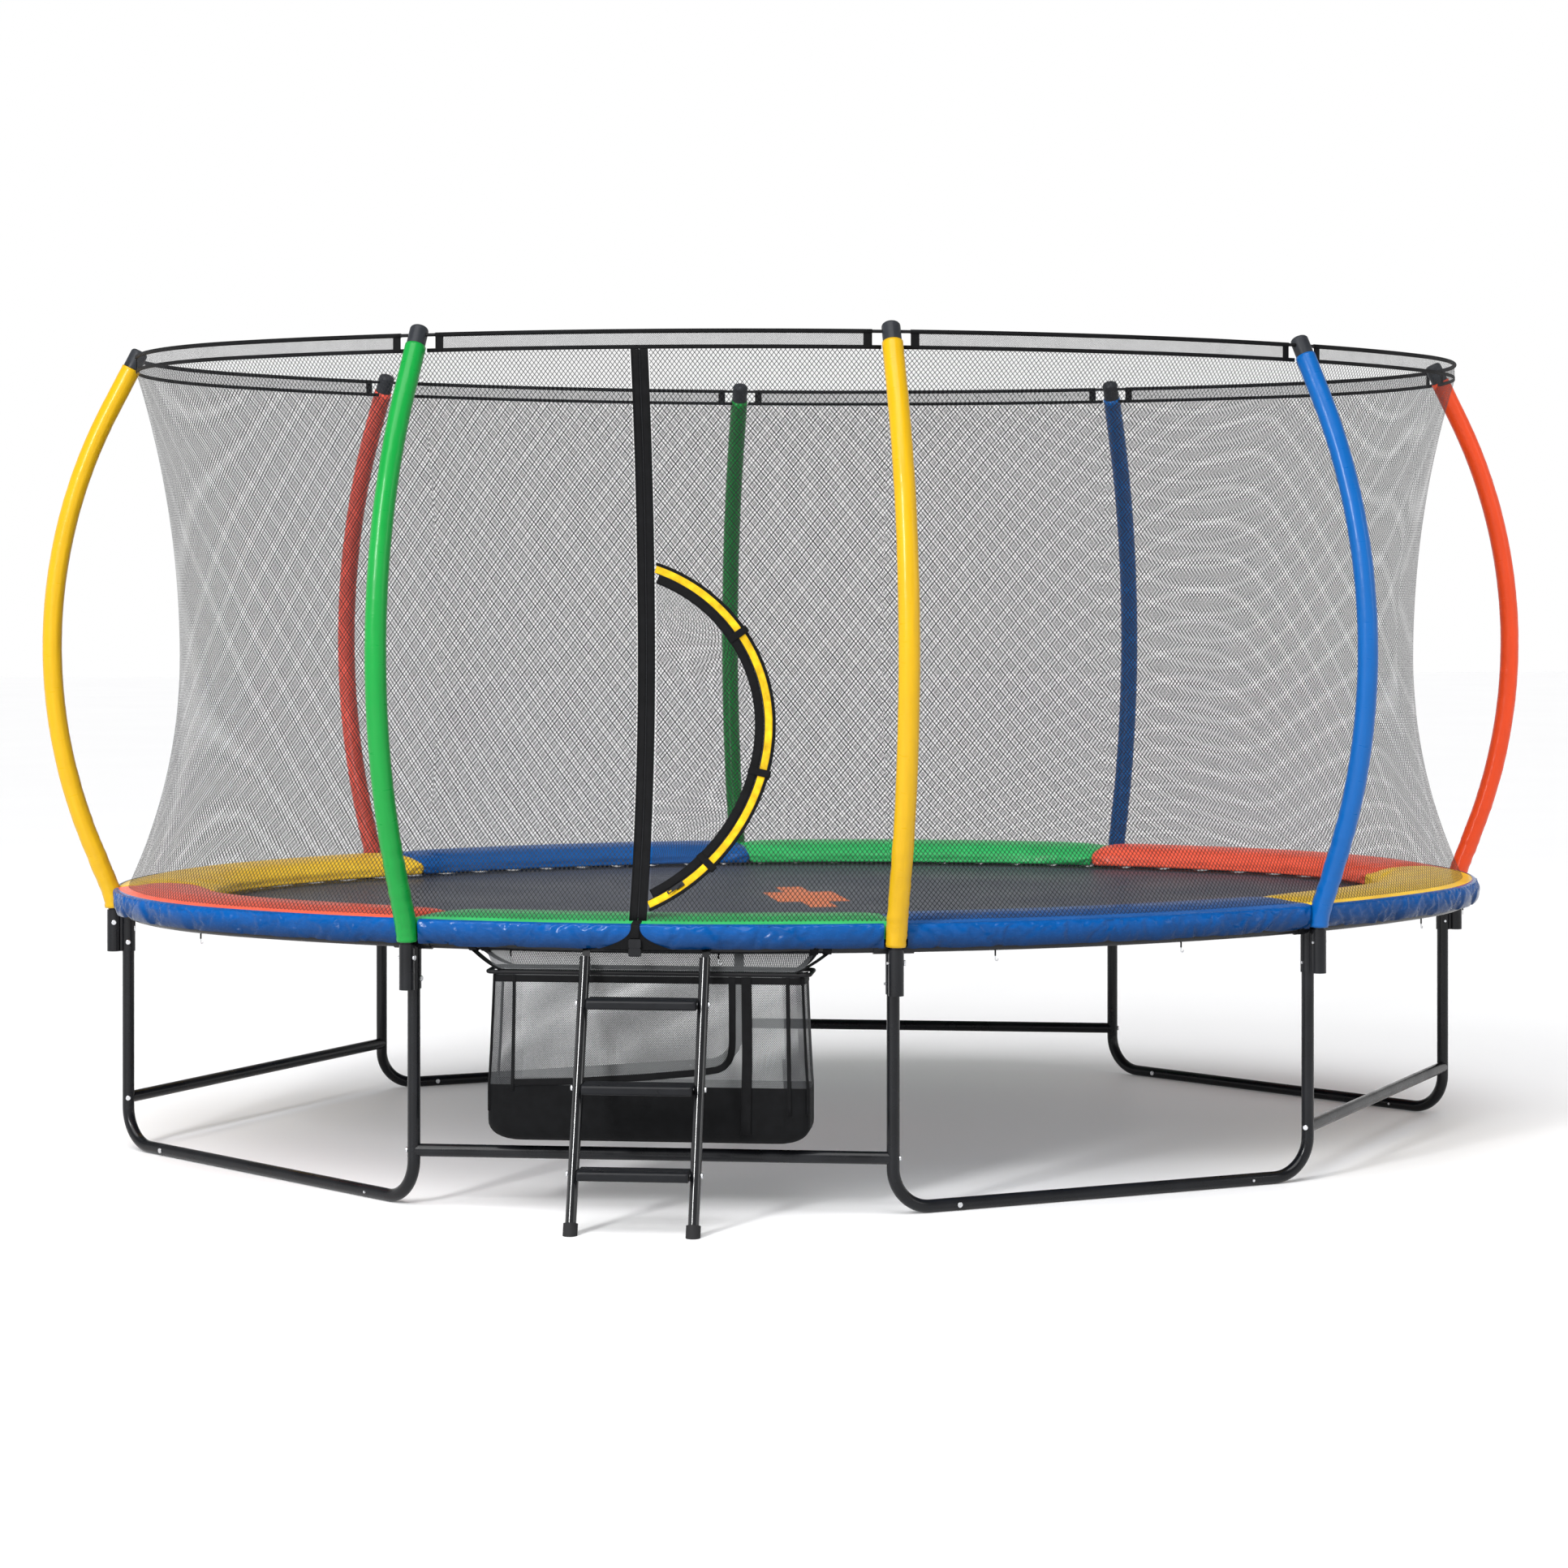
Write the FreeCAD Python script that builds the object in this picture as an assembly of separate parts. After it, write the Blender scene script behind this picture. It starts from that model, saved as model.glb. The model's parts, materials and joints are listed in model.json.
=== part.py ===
import FreeCAD, Part
import math
import os

# An oval garden trampoline with a safety net, a ladder and a storage bag.
# Millimetres, +Z up. The origin is on the ground under the middle of the mat.
# X runs along the oval, and the ladder and the door face -Y.

V = FreeCAD.Vector

# Plan of the frame: an oval of four arcs, measured to the middle of the top rail
rail_half_length = 2240.0
rail_half_width = 1560.0
tip_radius = 1100.0
corner_leg_angle = 60.0
rail_height = 785.0

# Steel tube of the frame
tube_diameter = 38.0
tube_wall = 1.5
fit_gap = 0.3
soft_gap = 0.3
joint_gap = 1.0

# Bracket that joins two rails, a leg and a pole
socket_wall = 3.4
socket_length = 120.0
bracket_drop = 140.0
barrel_drop = 5.0

# Legs, base tubes and stretcher bars
leg_bend_radius = 120.0
leg_stub_length = 60.0
spigot_length = 50.0
neck_length = 3.0
stretcher_height = 167.0
bolt_radius = 4.0
bolt_head_radius = 8.0
bolt_head_height = 5.0
bolt_clearance = 0.3

# Poles of the net, each in the upright plane that faces out from its leg
pole_lower_lean = 22.0
pole_upper_lean = 27.0
pole_bend_radius = 160.0
pole_lower_straight = 167.0
pole_bow_radius = 1700.0
pole_top_straight = 170.0
sleeve_radius = 31.0
sleeve_lift = 2.0
sleeve_clearance = 1.0

# Caps and the ring of rods at the top of the net
cap_radius = 28.0
cap_skirt = 20.0
cap_above_pole = 44.0
cap_round = 12.0
ring_above_pole = 17.0
rod_radius = 5.0
rod_clearance = 0.8

# Band sewn round the rods
band_height = 52.0
band_thickness = 3.0
band_window = 30.0

# Net
net_thickness = 2.0
net_waist_rise = 815.0
net_waist_inset = 165.0
net_foot_inset = 0.0

# Pad over the springs and the skirt round it
pad_outset = 43.5
pad_width = 328.5
pad_edge_thickness = 43.0
pad_crown_rise = 14.0
pad_inner_thickness = 37.0
skirt_thickness = 3.0
skirt_drop = 3.0

# Mat, its edge webbing, rings and springs
mat_inset = 200.0
mat_thickness = 3.0
mat_lift = 3.0
edge_width = 45.0
edge_thickness = 3.2
springs_per_bay = 10
spring_radius = 9.5
spring_wire_radius = 2.0
spring_hook_length = 14.0
ring_depth = 32.0
ring_width = 38.0
ring_wire = 4.0
ring_wall = 3.2
ring_tip = 2.8

# Door in the net
door_bay = 2
strip_from_bay_middle = -28.0
strip_width = 58.0
door_width = 350.0
door_top_rise = 1095.0
door_waist_rise = 635.0
door_sill_rise = 120.0
tape_thickness = 3.0
tape_width = 28.0
bow_width = 32.0
zip_gap = 2.0
loop_length = 46.0
loop_width = 22.0
loop_thickness = 3.0
loop_rises = (895.0, 505.0, 255.0)
slider_rise = 180.0
slider_aside = 8.5
slider_length = 26.0
slider_width = 14.0
slider_thickness = 6.0
pull_length = 38.0
pull_width = 10.0
pull_thickness = 2.0

# Strap and buckle at the foot of the door
foot_strap_width = 26.0
foot_strap_thickness = 2.0
foot_strap_rise = 27.0
buckle_width = 36.0
buckle_height = 26.0
buckle_thickness = 10.0
clip_height = 24.0

# Ladder
ladder_lean = 19.2
ladder_tube_radius = 16.0
ladder_tube_wall = 1.5
ladder_width = 350.0
ladder_drop = 30.0
foot_height = 32.0
foot_wall = 5.0
tread_drops = (125.0, 358.0, 590.0)
tread_depth = 96.0
tread_thickness = 28.0
tread_round = 9.0
hook_clearance = 1.0
hook_thickness = 3.0
hook_width = 22.0
hook_wrap = 200.0
hook_mouth_share = 0.35

# Storage bag under the ladder's bay
bag_length = 950.0
bag_depth = 155.0
bag_front_inset = 5.0
bag_drop = 85.0
bag_height = 488.0
bag_base_height = 133.0
bag_wall = 3.0
bag_side_round = 20.0
bag_rod_radius = 6.0
bag_strap_width = 25.0
bag_strap_thickness = 3.0
bag_strap_reach = 520.0
bag_strap_spacing = 37.5

# Elastic ties of the pad, with their hooks below the rail
ties_per_bay = 2
tie_pitch = 0.43
tie_radius = 2.5
tie_drop = 26.0
tie_hook_radius = 6.0

# What follows from the sizes above
bracket_bottom = rail_height - bracket_drop
barrel_top = rail_height - barrel_drop
sleeve_bottom = rail_height + sleeve_lift
net_waist_height = rail_height + net_waist_rise
skirt_bottom = rail_height - skirt_drop
mat_height = rail_height + mat_lift
door_top = rail_height + door_top_rise
door_waist = rail_height + door_waist_rise
door_bottom = rail_height + door_sill_rise
loop_heights = [rail_height + rise for rise in loop_rises]
slider_height = rail_height + slider_rise
foot_strap_bottom = rail_height + foot_strap_rise
ladder_top = rail_height - ladder_drop
tread_heights = [ladder_top - drop for drop in tread_drops]
bag_top = rail_height - bag_drop
bag_bottom = bag_top - bag_height
bag_base_top = bag_bottom + bag_base_height
tube_radius = tube_diameter / 2
bore_radius = tube_radius - tube_wall
socket_bore = tube_radius + fit_gap
socket_radius = socket_bore + socket_wall
collar_radius = socket_radius - fit_gap
barrel_offset = 2 * socket_radius
side_radius = (
    rail_half_length ** 2 + rail_half_width ** 2 - 2 * rail_half_length * tip_radius
) / (2 * (rail_half_width - tip_radius))
tip_centre = rail_half_length - tip_radius
side_centre = side_radius - rail_half_width
join_angle = math.degrees(math.atan2(side_centre, tip_centre))
leg_angles = [
    180.0,
    180.0 + corner_leg_angle,
    270.0,
    360.0 - corner_leg_angle,
    360.0,
    360.0 + corner_leg_angle,
    450.0,
    540.0 - corner_leg_angle,
    540.0,
]
hook_bore = tube_radius + hook_clearance
hook_radius = hook_bore + hook_thickness
pad_bottom = rail_height + max(hook_radius, socket_radius) + soft_gap
leg_top = rail_height - socket_radius
ORIGIN = V(0, 0, 0)
UP = V(0, 0, 1)


def arcs_between(start, end):
    """The oval's arcs from one direction to the next: centre, radius, first and last angle."""
    arcs = []
    for turn in (0.0, 360.0):
        for low, high, centre, radius in (
            (-join_angle, join_angle, V(tip_centre, 0, 0), tip_radius),
            (join_angle, 180 - join_angle, V(0, -side_centre, 0), side_radius),
            (180 - join_angle, 180 + join_angle, V(-tip_centre, 0, 0), tip_radius),
            (180 + join_angle, 360 - join_angle, V(0, side_centre, 0), side_radius),
            (360 - join_angle, 360 + join_angle, V(tip_centre, 0, 0), tip_radius),
        ):
            a = max(start, low + turn)
            b = min(end, high + turn)
            known = any(abs(a - arc[2]) < 1e-6 for arc in arcs)
            if b - a > 1e-6 and not known:
                arcs.append((centre, radius, a, b))
    return sorted(arcs, key=lambda arc: arc[2])


def arc_at(angle):
    """The centre and radius of the arc whose outward direction is this angle."""
    arc = arcs_between(angle - 1e-3, angle + 1e-3)[0]
    return arc[0], arc[1]


def rail_point(angle, offset=0.0, height=0.0):
    centre, radius = arc_at(angle)
    a = math.radians(angle)
    reach = radius + offset
    return centre + V(reach * math.cos(a), reach * math.sin(a), height)


def at_station(shape, angle):
    """Move a shape from local axes (x out, y along the rail, z up) to its place."""
    shape = shape.copy()
    shape.rotate(ORIGIN, UP, angle)
    shape.translate(rail_point(angle))
    return shape


def angle_of_length(angle, length):
    return math.degrees(length / arc_at(angle)[1])


def joined(shapes):
    if len(shapes) == 1:
        return shapes[0]
    return shapes[0].multiFuse(shapes[1:]).removeSplitter()


def ring(section, start, end):
    """Carry a section, drawn in the XZ plane at the arc's radius, round the oval."""
    pieces = []
    for centre, radius, a, b in arcs_between(start, end):
        piece = section(radius).revolve(ORIGIN, UP, b - a)
        piece.rotate(ORIGIN, UP, a)
        piece.translate(centre)
        pieces.append(piece)
    return joined(pieces)


def disc(x, z, radius):
    return Part.Face(Part.Wire([Part.makeCircle(radius, V(x, 0, z), V(0, 1, 0))]))


def round_section(offset, height, radius, bore=0.0):
    def section(rail_radius):
        face = disc(rail_radius + offset, height, radius)
        if bore > 0:
            face = face.cut(disc(rail_radius + offset, height, bore)).Faces[0]
        return face
    return section


def flat_section(inner, outer, bottom, top):
    def section(r):
        corners = [V(r + inner, 0, bottom), V(r + outer, 0, bottom)]
        corners += [V(r + outer, 0, top), V(r + inner, 0, top), V(r + inner, 0, bottom)]
        return Part.Face(Part.makePolygon(corners))
    return section


def walk(x, z, lean, steps):
    """A path in the XZ plane. Each step is (length,) or (radius, new lean)."""
    edges = []
    point = V(x, 0, z)
    for step in steps:
        a = math.radians(lean)
        if len(step) == 1:
            end = point + V(math.sin(a), 0, math.cos(a)) * step[0]
            edges.append(Part.LineSegment(point, end).toShape())
        else:
            radius, lean = step
            b = math.radians(lean)
            side = 1 if b > a else -1
            centre = point + V(math.cos(a), 0, -math.sin(a)) * (side * radius)

            def spot(t):
                return centre - V(math.cos(t), 0, -math.sin(t)) * (side * radius)
            end = spot(b)
            edges.append(Part.Arc(point, spot((a + b) / 2), end).toShape())
        point = end
    return edges, point


def rod_along(edges, radius):
    path = Part.Wire(edges)
    start = path.Edges[0].valueAt(path.Edges[0].FirstParameter)
    heading = path.Edges[0].tangentAt(path.Edges[0].FirstParameter)
    profile = Part.Wire([Part.makeCircle(radius, start, heading)])
    return path.makePipeShell([profile], True, False)


def tube_along(edges, radius, bore):
    return rod_along(edges, radius).cut(rod_along(edges, bore))


def cylinder_between(a, b, radius):
    return Part.makeCylinder(radius, (b - a).Length, a, b - a)


def tube_between(a, b, radius, bore):
    return cylinder_between(a, b, radius).cut(cylinder_between(a, b, bore))


def bolt(start, heading, length):
    """A bolt whose head seats at start and whose shank runs along heading."""
    shank = Part.makeCylinder(bolt_radius, length, start, heading)
    head = Part.makeCylinder(bolt_head_radius, bolt_head_height, start, heading * -1)
    far_rim = head.Edges[:1]
    head = head.makeFillet(bolt_head_height / 3, far_rim)
    return shank.fuse(head)


def bolt_hole(start, heading, length):
    radius = bolt_radius + bolt_clearance
    return Part.makeCylinder(radius, length, start, heading)


def through_bolt(middle, heading, reach):
    """A bolt through a tube, with its hole: the head seats at middle - heading * reach."""
    start = middle - heading * reach
    length = 2 * reach + bolt_head_height
    hole_start = start - heading * bolt_head_height
    hole = bolt_hole(hole_start, heading, length + 2 * bolt_head_height)
    return bolt(start, heading, length), hole


def leg_chord(index):
    """The direction and the far leg of the base tube or stretcher that starts at a leg."""
    a = rail_point(leg_angles[index])
    b = rail_point(leg_angles[index + 1])
    return a, b, (b - a).normalize()


bolts = []


def add_bolt(middle, heading, reach):
    piece, hole = through_bolt(middle, heading, reach)
    bolts.append(piece)
    return hole


def make_top_rail(index):
    a = leg_angles[index]
    b = leg_angles[index + 1]
    a += angle_of_length(a + 0.1, joint_gap)
    b -= angle_of_length(b - 0.1, joint_gap)
    return ring(round_section(0, rail_height, tube_radius, bore_radius), a, b)


def make_bracket(angle):
    half = angle_of_length(angle, socket_length / 2)
    socket = ring(round_section(0, rail_height, socket_radius), angle - half, angle + half)
    channel = ring(
        round_section(0, rail_height, socket_bore), angle - 2 * half, angle + 2 * half
    )
    height = rail_height - bracket_bottom
    collar = Part.makeCylinder(collar_radius, height, V(0, 0, bracket_bottom))
    barrel_height = barrel_top - bracket_bottom
    barrel = Part.makeCylinder(
        socket_radius, barrel_height, V(barrel_offset, 0, bracket_bottom)
    )
    web = Part.makeBox(
        barrel_offset, socket_radius, barrel_height, V(0, -socket_radius / 2, bracket_bottom)
    )
    leg_bore = Part.makeCylinder(socket_bore, height + socket_radius, V(0, 0, bracket_bottom))
    leg_bore = leg_bore.cut(
        Part.makeBox(
            4 * socket_radius, 4 * socket_radius, 2 * socket_radius,
            V(-2 * socket_radius, -2 * socket_radius, leg_top + fit_gap),
        )
    )
    pole_bore = Part.makeCylinder(
        socket_bore, barrel_height + 2, V(barrel_offset, 0, bracket_bottom - 1)
    )
    body = at_station(collar.fuse([barrel, web]), angle).fuse(socket)
    return body.cut([channel, at_station(leg_bore.fuse(pole_bore), angle)])


def make_leg(index):
    """A leg with its bend, its stub along the ground and the spigot of the base tube."""
    first = index % 2 == 0
    if first:
        a, b, chord = leg_chord(index)
    else:
        b, a, chord = leg_chord(index - 1)
        chord = chord * -1
    drop = leg_top - tube_radius - leg_bend_radius
    steps = [(drop,), (leg_bend_radius, 90.0), (leg_stub_length,)]
    edges, end = walk(0, leg_top, 180.0, steps)
    tube = tube_along(edges, tube_radius, bore_radius)
    spigot_radius = bore_radius - fit_gap
    along = V(1, 0, 0)
    neck_end = end + along * neck_length
    neck = tube_between(end, neck_end, tube_radius, spigot_radius - tube_wall)
    spigot = tube_between(
        neck_end, neck_end + along * spigot_length, spigot_radius, spigot_radius - tube_wall
    )
    leg = joined([tube, neck, spigot])
    leg.rotate(ORIGIN, UP, math.degrees(math.atan2(chord.y, chord.x)))
    leg.translate(a)
    return leg, a, chord


def make_base_tube(index):
    a, b, chord = leg_chord(index)
    inset = leg_bend_radius + leg_stub_length + neck_length
    lift = V(0, 0, tube_radius)
    return tube_between(
        a + chord * inset + lift, b - chord * inset + lift, tube_radius, bore_radius
    )


def make_stretcher(index):
    """A stretcher bar, saddled on its two legs and held by a bolt at each."""
    a, b, chord = leg_chord(index)
    lift = V(0, 0, stretcher_height)
    bar = tube_between(a + lift, b + lift, tube_radius, bore_radius)
    for p in (a, b):
        saddle = Part.makeCylinder(
            tube_radius + fit_gap, 4 * tube_radius, p + lift - UP * (2 * tube_radius)
        )
        bar = bar.cut(saddle)
    return bar


def make_legs_and_bars():
    """The legs, base tubes, stretchers and brackets, drilled for their bolts."""
    legs = []
    brackets = []
    holes = []
    for index in range(8):
        leg, foot, chord = make_leg(index)
        angle = leg_angles[index]
        a = math.radians(angle)
        outward = V(math.cos(a), math.sin(a), 0)
        along = V(-math.sin(a), math.cos(a), 0)
        side = 1 if index % 2 else -1
        collar_middle = foot + V(0, 0, bracket_bottom + 30)
        holes.append(add_bolt(collar_middle, along * -1, socket_radius))
        pole_middle = foot + outward * barrel_offset + V(0, 0, barrel_top - 40)
        holes.append(add_bolt(pole_middle, along * -1, socket_radius))
        bar_chord = leg_chord(index if side > 0 else index - 1)[2]
        if side < 0:
            bar_chord = bar_chord * -1
        holes.append(
            add_bolt(foot + V(0, 0, stretcher_height), bar_chord, tube_radius)
        )
        spigot_middle = foot + chord * (
            leg_bend_radius + leg_stub_length + neck_length + spigot_length / 2
        )
        cross = V(-chord.y, chord.x, 0)
        holes.append(add_bolt(spigot_middle + V(0, 0, tube_radius), cross, tube_radius))
        legs.append(leg.cut(holes[-4:]))
        brackets.append(make_bracket(angle).cut(holes[-4:-2]))
    base = [make_base_tube(i).cut(holes) for i in (0, 2, 4, 6)]
    bars = [make_stretcher(i) for i in (1, 3, 5, 7)]
    return legs, brackets, base, bars, holes


def pole_steps(top_cut):
    return [
        (pole_bend_radius, pole_lower_lean),
        (pole_lower_straight,),
        (pole_bow_radius, -pole_upper_lean),
        (pole_top_straight - top_cut,),
    ]


def pole_end():
    edges, end = walk(barrel_offset, sleeve_bottom, 0.0, pole_steps(0))
    return end


def make_pole():
    foot = sleeve_bottom - bracket_bottom
    steps = [(foot,)] + pole_steps(0)
    edges, end = walk(barrel_offset, bracket_bottom, 0.0, steps)
    return tube_along(edges, tube_radius, bore_radius)


def make_sleeve(angle):
    """A foam tube round the pole, notched at its foot where it sits on the rails' socket."""
    edges, end = walk(barrel_offset, sleeve_bottom, 0.0, pole_steps(cap_skirt + joint_gap))
    sleeve = at_station(tube_along(edges, sleeve_radius, tube_radius + soft_gap), angle)
    half = angle_of_length(angle, sleeve_radius)
    section = round_section(0, rail_height, socket_radius + soft_gap)
    return sleeve.cut(ring(section, angle - 2 * half, angle + 2 * half))


def sleeve_room():
    """The space that a sleeve takes, which the pad, skirt and net are cut clear of."""
    steps = [(sleeve_bottom - barrel_top,)] + pole_steps(0)
    edges, end = walk(barrel_offset, barrel_top, 0.0, steps)
    return rod_along(edges, sleeve_radius + sleeve_clearance)


def cap_axis():
    a = math.radians(-pole_upper_lean)
    return V(math.sin(a), 0, math.cos(a))


def ring_place():
    return pole_end() + cap_axis() * ring_above_pole


def make_cap(angle):
    """A domed cap, bored for the pole and drilled across for the rods of the top ring."""
    height = cap_skirt + cap_above_pole
    body = Part.makeCylinder(cap_radius, height)
    rim = [e for e in body.Edges if abs(e.BoundBox.ZMin - height) < 1e-6]
    body = body.makeFillet(cap_round, rim)
    body = body.cut(Part.makeCylinder(tube_radius + fit_gap, cap_skirt))
    body.translate(V(0, 0, -cap_skirt))
    body.rotate(ORIGIN, V(0, 1, 0), -pole_upper_lean)
    body.translate(pole_end())
    spot = ring_place()
    across = V(0, 4 * cap_radius, 0)
    hole = cylinder_between(spot - across / 2, spot + across / 2, rod_radius + rod_clearance)
    return at_station(body.cut(hole), angle)


def make_ring_rod(index):
    spot = ring_place()
    a = leg_angles[index]
    b = leg_angles[index + 1]
    a += angle_of_length(a + 0.1, joint_gap)
    b -= angle_of_length(b - 0.1, joint_gap)
    return ring(round_section(spot.x, spot.z, rod_radius), a, b)


def make_band(index):
    """The band sewn round one rod, open for a window beside each cap."""
    spot = ring_place()
    reach = cap_radius + band_window
    a = leg_angles[index]
    b = leg_angles[index + 1]
    a += angle_of_length(a + 0.1, reach)
    b -= angle_of_length(b - 0.1, reach)
    bore = rod_radius + soft_gap
    outer = bore + band_thickness / 2
    tube = ring(round_section(spot.x, spot.z, outer), a, b)
    half = band_thickness / 2
    strip = ring(flat_section(spot.x - half, spot.x + half, band_foot(), spot.z), a, b)
    return tube.fuse(strip).removeSplitter().cut(ring(round_section(spot.x, spot.z, bore), a, b))


def band_foot():
    return ring_place().z - band_height


def pad_top(offset):
    """The height of the pad's crowned top, a circle through three points."""
    outer = V(pad_outset, 0, pad_bottom + pad_edge_thickness)
    crown, inner = pad_crown_points()
    circle = Part.Circle(outer, crown, inner)
    drop = math.sqrt(circle.Radius ** 2 - (offset - circle.Center.x) ** 2)
    return circle.Center.z + drop


def pad_crown_points():
    inner = V(pad_outset - pad_width, 0, pad_bottom + pad_inner_thickness)
    crown = V(
        pad_outset - pad_width / 2, 0, pad_bottom + pad_edge_thickness + pad_crown_rise
    )
    return crown, inner


def pad_section(r):
    shift = V(r, 0, 0)
    outer = V(pad_outset, 0, pad_bottom + pad_edge_thickness) + shift
    crown, inner = pad_crown_points()
    crown = crown + shift
    inner = inner + shift
    outer_foot = V(outer.x, 0, pad_bottom)
    inner_foot = V(inner.x, 0, pad_bottom)
    edges = [
        Part.LineSegment(inner_foot, outer_foot).toShape(),
        Part.LineSegment(outer_foot, outer).toShape(),
        Part.Arc(outer, crown, inner).toShape(),
        Part.LineSegment(inner, inner_foot).toShape(),
    ]
    return Part.Face(Part.Wire(edges))


def make_pad(index, room):
    pad = ring(pad_section, leg_angles[index], leg_angles[index + 1])
    rooms = [at_station(room, leg_angles[i]) for i in (index, index + 1)]
    return pad.cut(rooms)


def make_skirt(index, room):
    inner = pad_outset + soft_gap
    top = pad_bottom + pad_edge_thickness
    section = flat_section(inner, inner + skirt_thickness, skirt_bottom, top)
    skirt = ring(section, leg_angles[index], leg_angles[index + 1])
    rooms = [at_station(room, leg_angles[i]) for i in (index, index + 1)]
    return skirt.cut(rooms)


def net_profile(thickness):
    """The net's upright section: two arcs that meet, upright, at the waist."""
    def section(r):
        spot = ring_place()
        sides = []
        for shift in (-thickness / 2, thickness / 2):
            foot_height = pad_top(-net_foot_inset) + soft_gap
            foot = V(r - net_foot_inset + shift, 0, foot_height)
            waist = V(r - net_waist_inset + shift, 0, net_waist_height)
            head = V(r + spot.x + shift, 0, band_foot() - soft_gap)
            sides.append(upright_arcs(foot, waist, head))
        (low_a, high_a), (low_b, high_b) = sides
        edges = [Part.LineSegment(low_b[0], low_a[0]).toShape()]
        edges += [Part.Arc(*low_a).toShape(), Part.Arc(*high_a).toShape()]
        edges.append(Part.LineSegment(high_a[2], high_b[2]).toShape())
        edges += [Part.Arc(*high_b[::-1]).toShape(), Part.Arc(*low_b[::-1]).toShape()]
        return Part.Face(Part.Wire(edges))
    return section


def upright_arcs(foot, waist, head):
    arcs = []
    for end in (foot, head):
        dx = end.x - waist.x
        dz = end.z - waist.z
        radius = (dx * dx + dz * dz) / (2 * dx)
        centre = V(waist.x + radius, 0, waist.z)
        half = math.atan2(abs(dz), radius - dx) / 2
        sign = 1 if dz > 0 else -1
        middle = centre + V(-radius * math.cos(half), 0, sign * radius * math.sin(half))
        points = (foot, middle, waist) if end is foot else (waist, middle, head)
        arcs.append(points)
    return arcs


def net_offset(height):
    """How far the middle of the net stands in from the rail at a height."""
    low, high = upright_arcs(
        V(-net_foot_inset, 0, pad_top(-net_foot_inset) + soft_gap),
        V(-net_waist_inset, 0, net_waist_height),
        V(ring_place().x, 0, band_foot() - soft_gap),
    )
    circle = Part.Circle(*(low if height < net_waist_height else high))
    return circle.Center.x - math.sqrt(circle.Radius ** 2 - (height - net_waist_height) ** 2)


def make_net_panel(index, room):
    panel = ring(net_profile(net_thickness), leg_angles[index], leg_angles[index + 1])
    rooms = [at_station(room, leg_angles[i]) for i in (index, index + 1)]
    return panel.cut(rooms)


def strip_angle():
    middle = (leg_angles[door_bay - 1] + leg_angles[door_bay]) / 2
    return middle + angle_of_length(middle, strip_from_bay_middle)


def door_outline(grow, left):
    """The D of the door in the YZ plane: its bow moved out by grow, cut off at left."""
    top = door_top + grow
    bottom = door_bottom - grow
    width = door_width + grow
    r_up = (width ** 2 + (top - door_waist) ** 2) / (2 * width)
    r_low = (width ** 2 + (door_waist - bottom) ** 2) / (2 * width)

    def on_bow(radius, height):
        reach = math.sqrt(radius ** 2 - (height - door_waist) ** 2)
        return V(0, width - radius + reach, height)

    def height_at(radius, y, sign):
        return door_waist + sign * math.sqrt(radius ** 2 - (y - width + radius) ** 2)
    z_up = height_at(r_up, left, 1)
    z_low = height_at(r_low, left, -1)
    tip = V(0, width, door_waist)
    start = V(0, left, z_up)
    end = V(0, left, z_low)
    upper = Part.Arc(start, on_bow(r_up, (z_up + door_waist * 2) / 3), tip)
    lower = Part.Arc(tip, on_bow(r_low, (z_low + door_waist * 2) / 3), end)
    straight = Part.LineSegment(end, start)
    face = Part.Face(Part.Wire([upper.toShape(), lower.toShape(), straight.toShape()]))
    return through_net(face)


def through_net(face):
    """Push a face in the YZ plane right through the net at the door."""
    reach = 3 * net_waist_inset
    prism = face.extrude(V(2 * reach, 0, 0))
    prism.translate(V(-1.5 * reach, 0, 0))
    return at_station(prism, strip_angle())


def upright_slab(left, right):
    low = rail_height - band_height
    high = ring_place().z + band_height
    corners = [V(0, left, low), V(0, right, low), V(0, right, high), V(0, left, high)]
    return through_net(Part.Face(Part.makePolygon(corners + corners[:1])))


def make_door(room):
    """The door bay: its net, strip, bow, flap and the flap's tape."""
    half = strip_width / 2
    a = leg_angles[door_bay - 1]
    b = leg_angles[door_bay]
    net = make_net_panel(door_bay - 1, room)
    tape = ring(net_profile(tape_thickness), a, b)
    outer = door_outline(bow_width + zip_gap / 2, half)
    zip_outer = door_outline(zip_gap / 2, half)
    zip_inner = door_outline(-zip_gap / 2, half + zip_gap)
    flap_room = door_outline(-zip_gap / 2 - tape_width, half + zip_gap)
    slab = upright_slab(-half, half)
    panel = net.cut(slab.fuse(outer))
    strip = tape.common(slab)
    bow = tape.common(outer.cut(zip_outer.fuse(slab)))
    edge = tape.common(zip_inner.cut(flap_room))
    flap = net.common(flap_room)
    return panel, strip, bow, edge, flap


def bow_spot(height):
    """The point of the zip at a height, its direction along the bow and the way out."""
    width = door_width
    radius = (width ** 2 + (door_waist - door_bottom) ** 2) / (2 * width)
    if height > door_waist:
        radius = (width ** 2 + (door_top - door_waist) ** 2) / (2 * width)

    def spot(z):
        y = width - radius + math.sqrt(radius ** 2 - (z - door_waist) ** 2)
        centre, rail_radius = arc_at(strip_angle())
        reach = rail_radius + net_offset(z)
        turned = math.asin(y / reach)
        x = reach * math.cos(turned) - rail_radius
        return V(x, y, z), turned
    point, turned = spot(height)
    step = spot(height + 1.0)[0] - point
    along = step.normalize()
    level = V(-math.sin(turned), math.cos(turned), 0)
    slope = V(net_offset(height + 1.0) - net_offset(height - 1.0), 0, 2.0)
    rise = V(slope.x * math.cos(turned), slope.x * math.sin(turned), slope.z)
    outward = level.cross(rise).normalize()
    return point, along, outward


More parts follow.
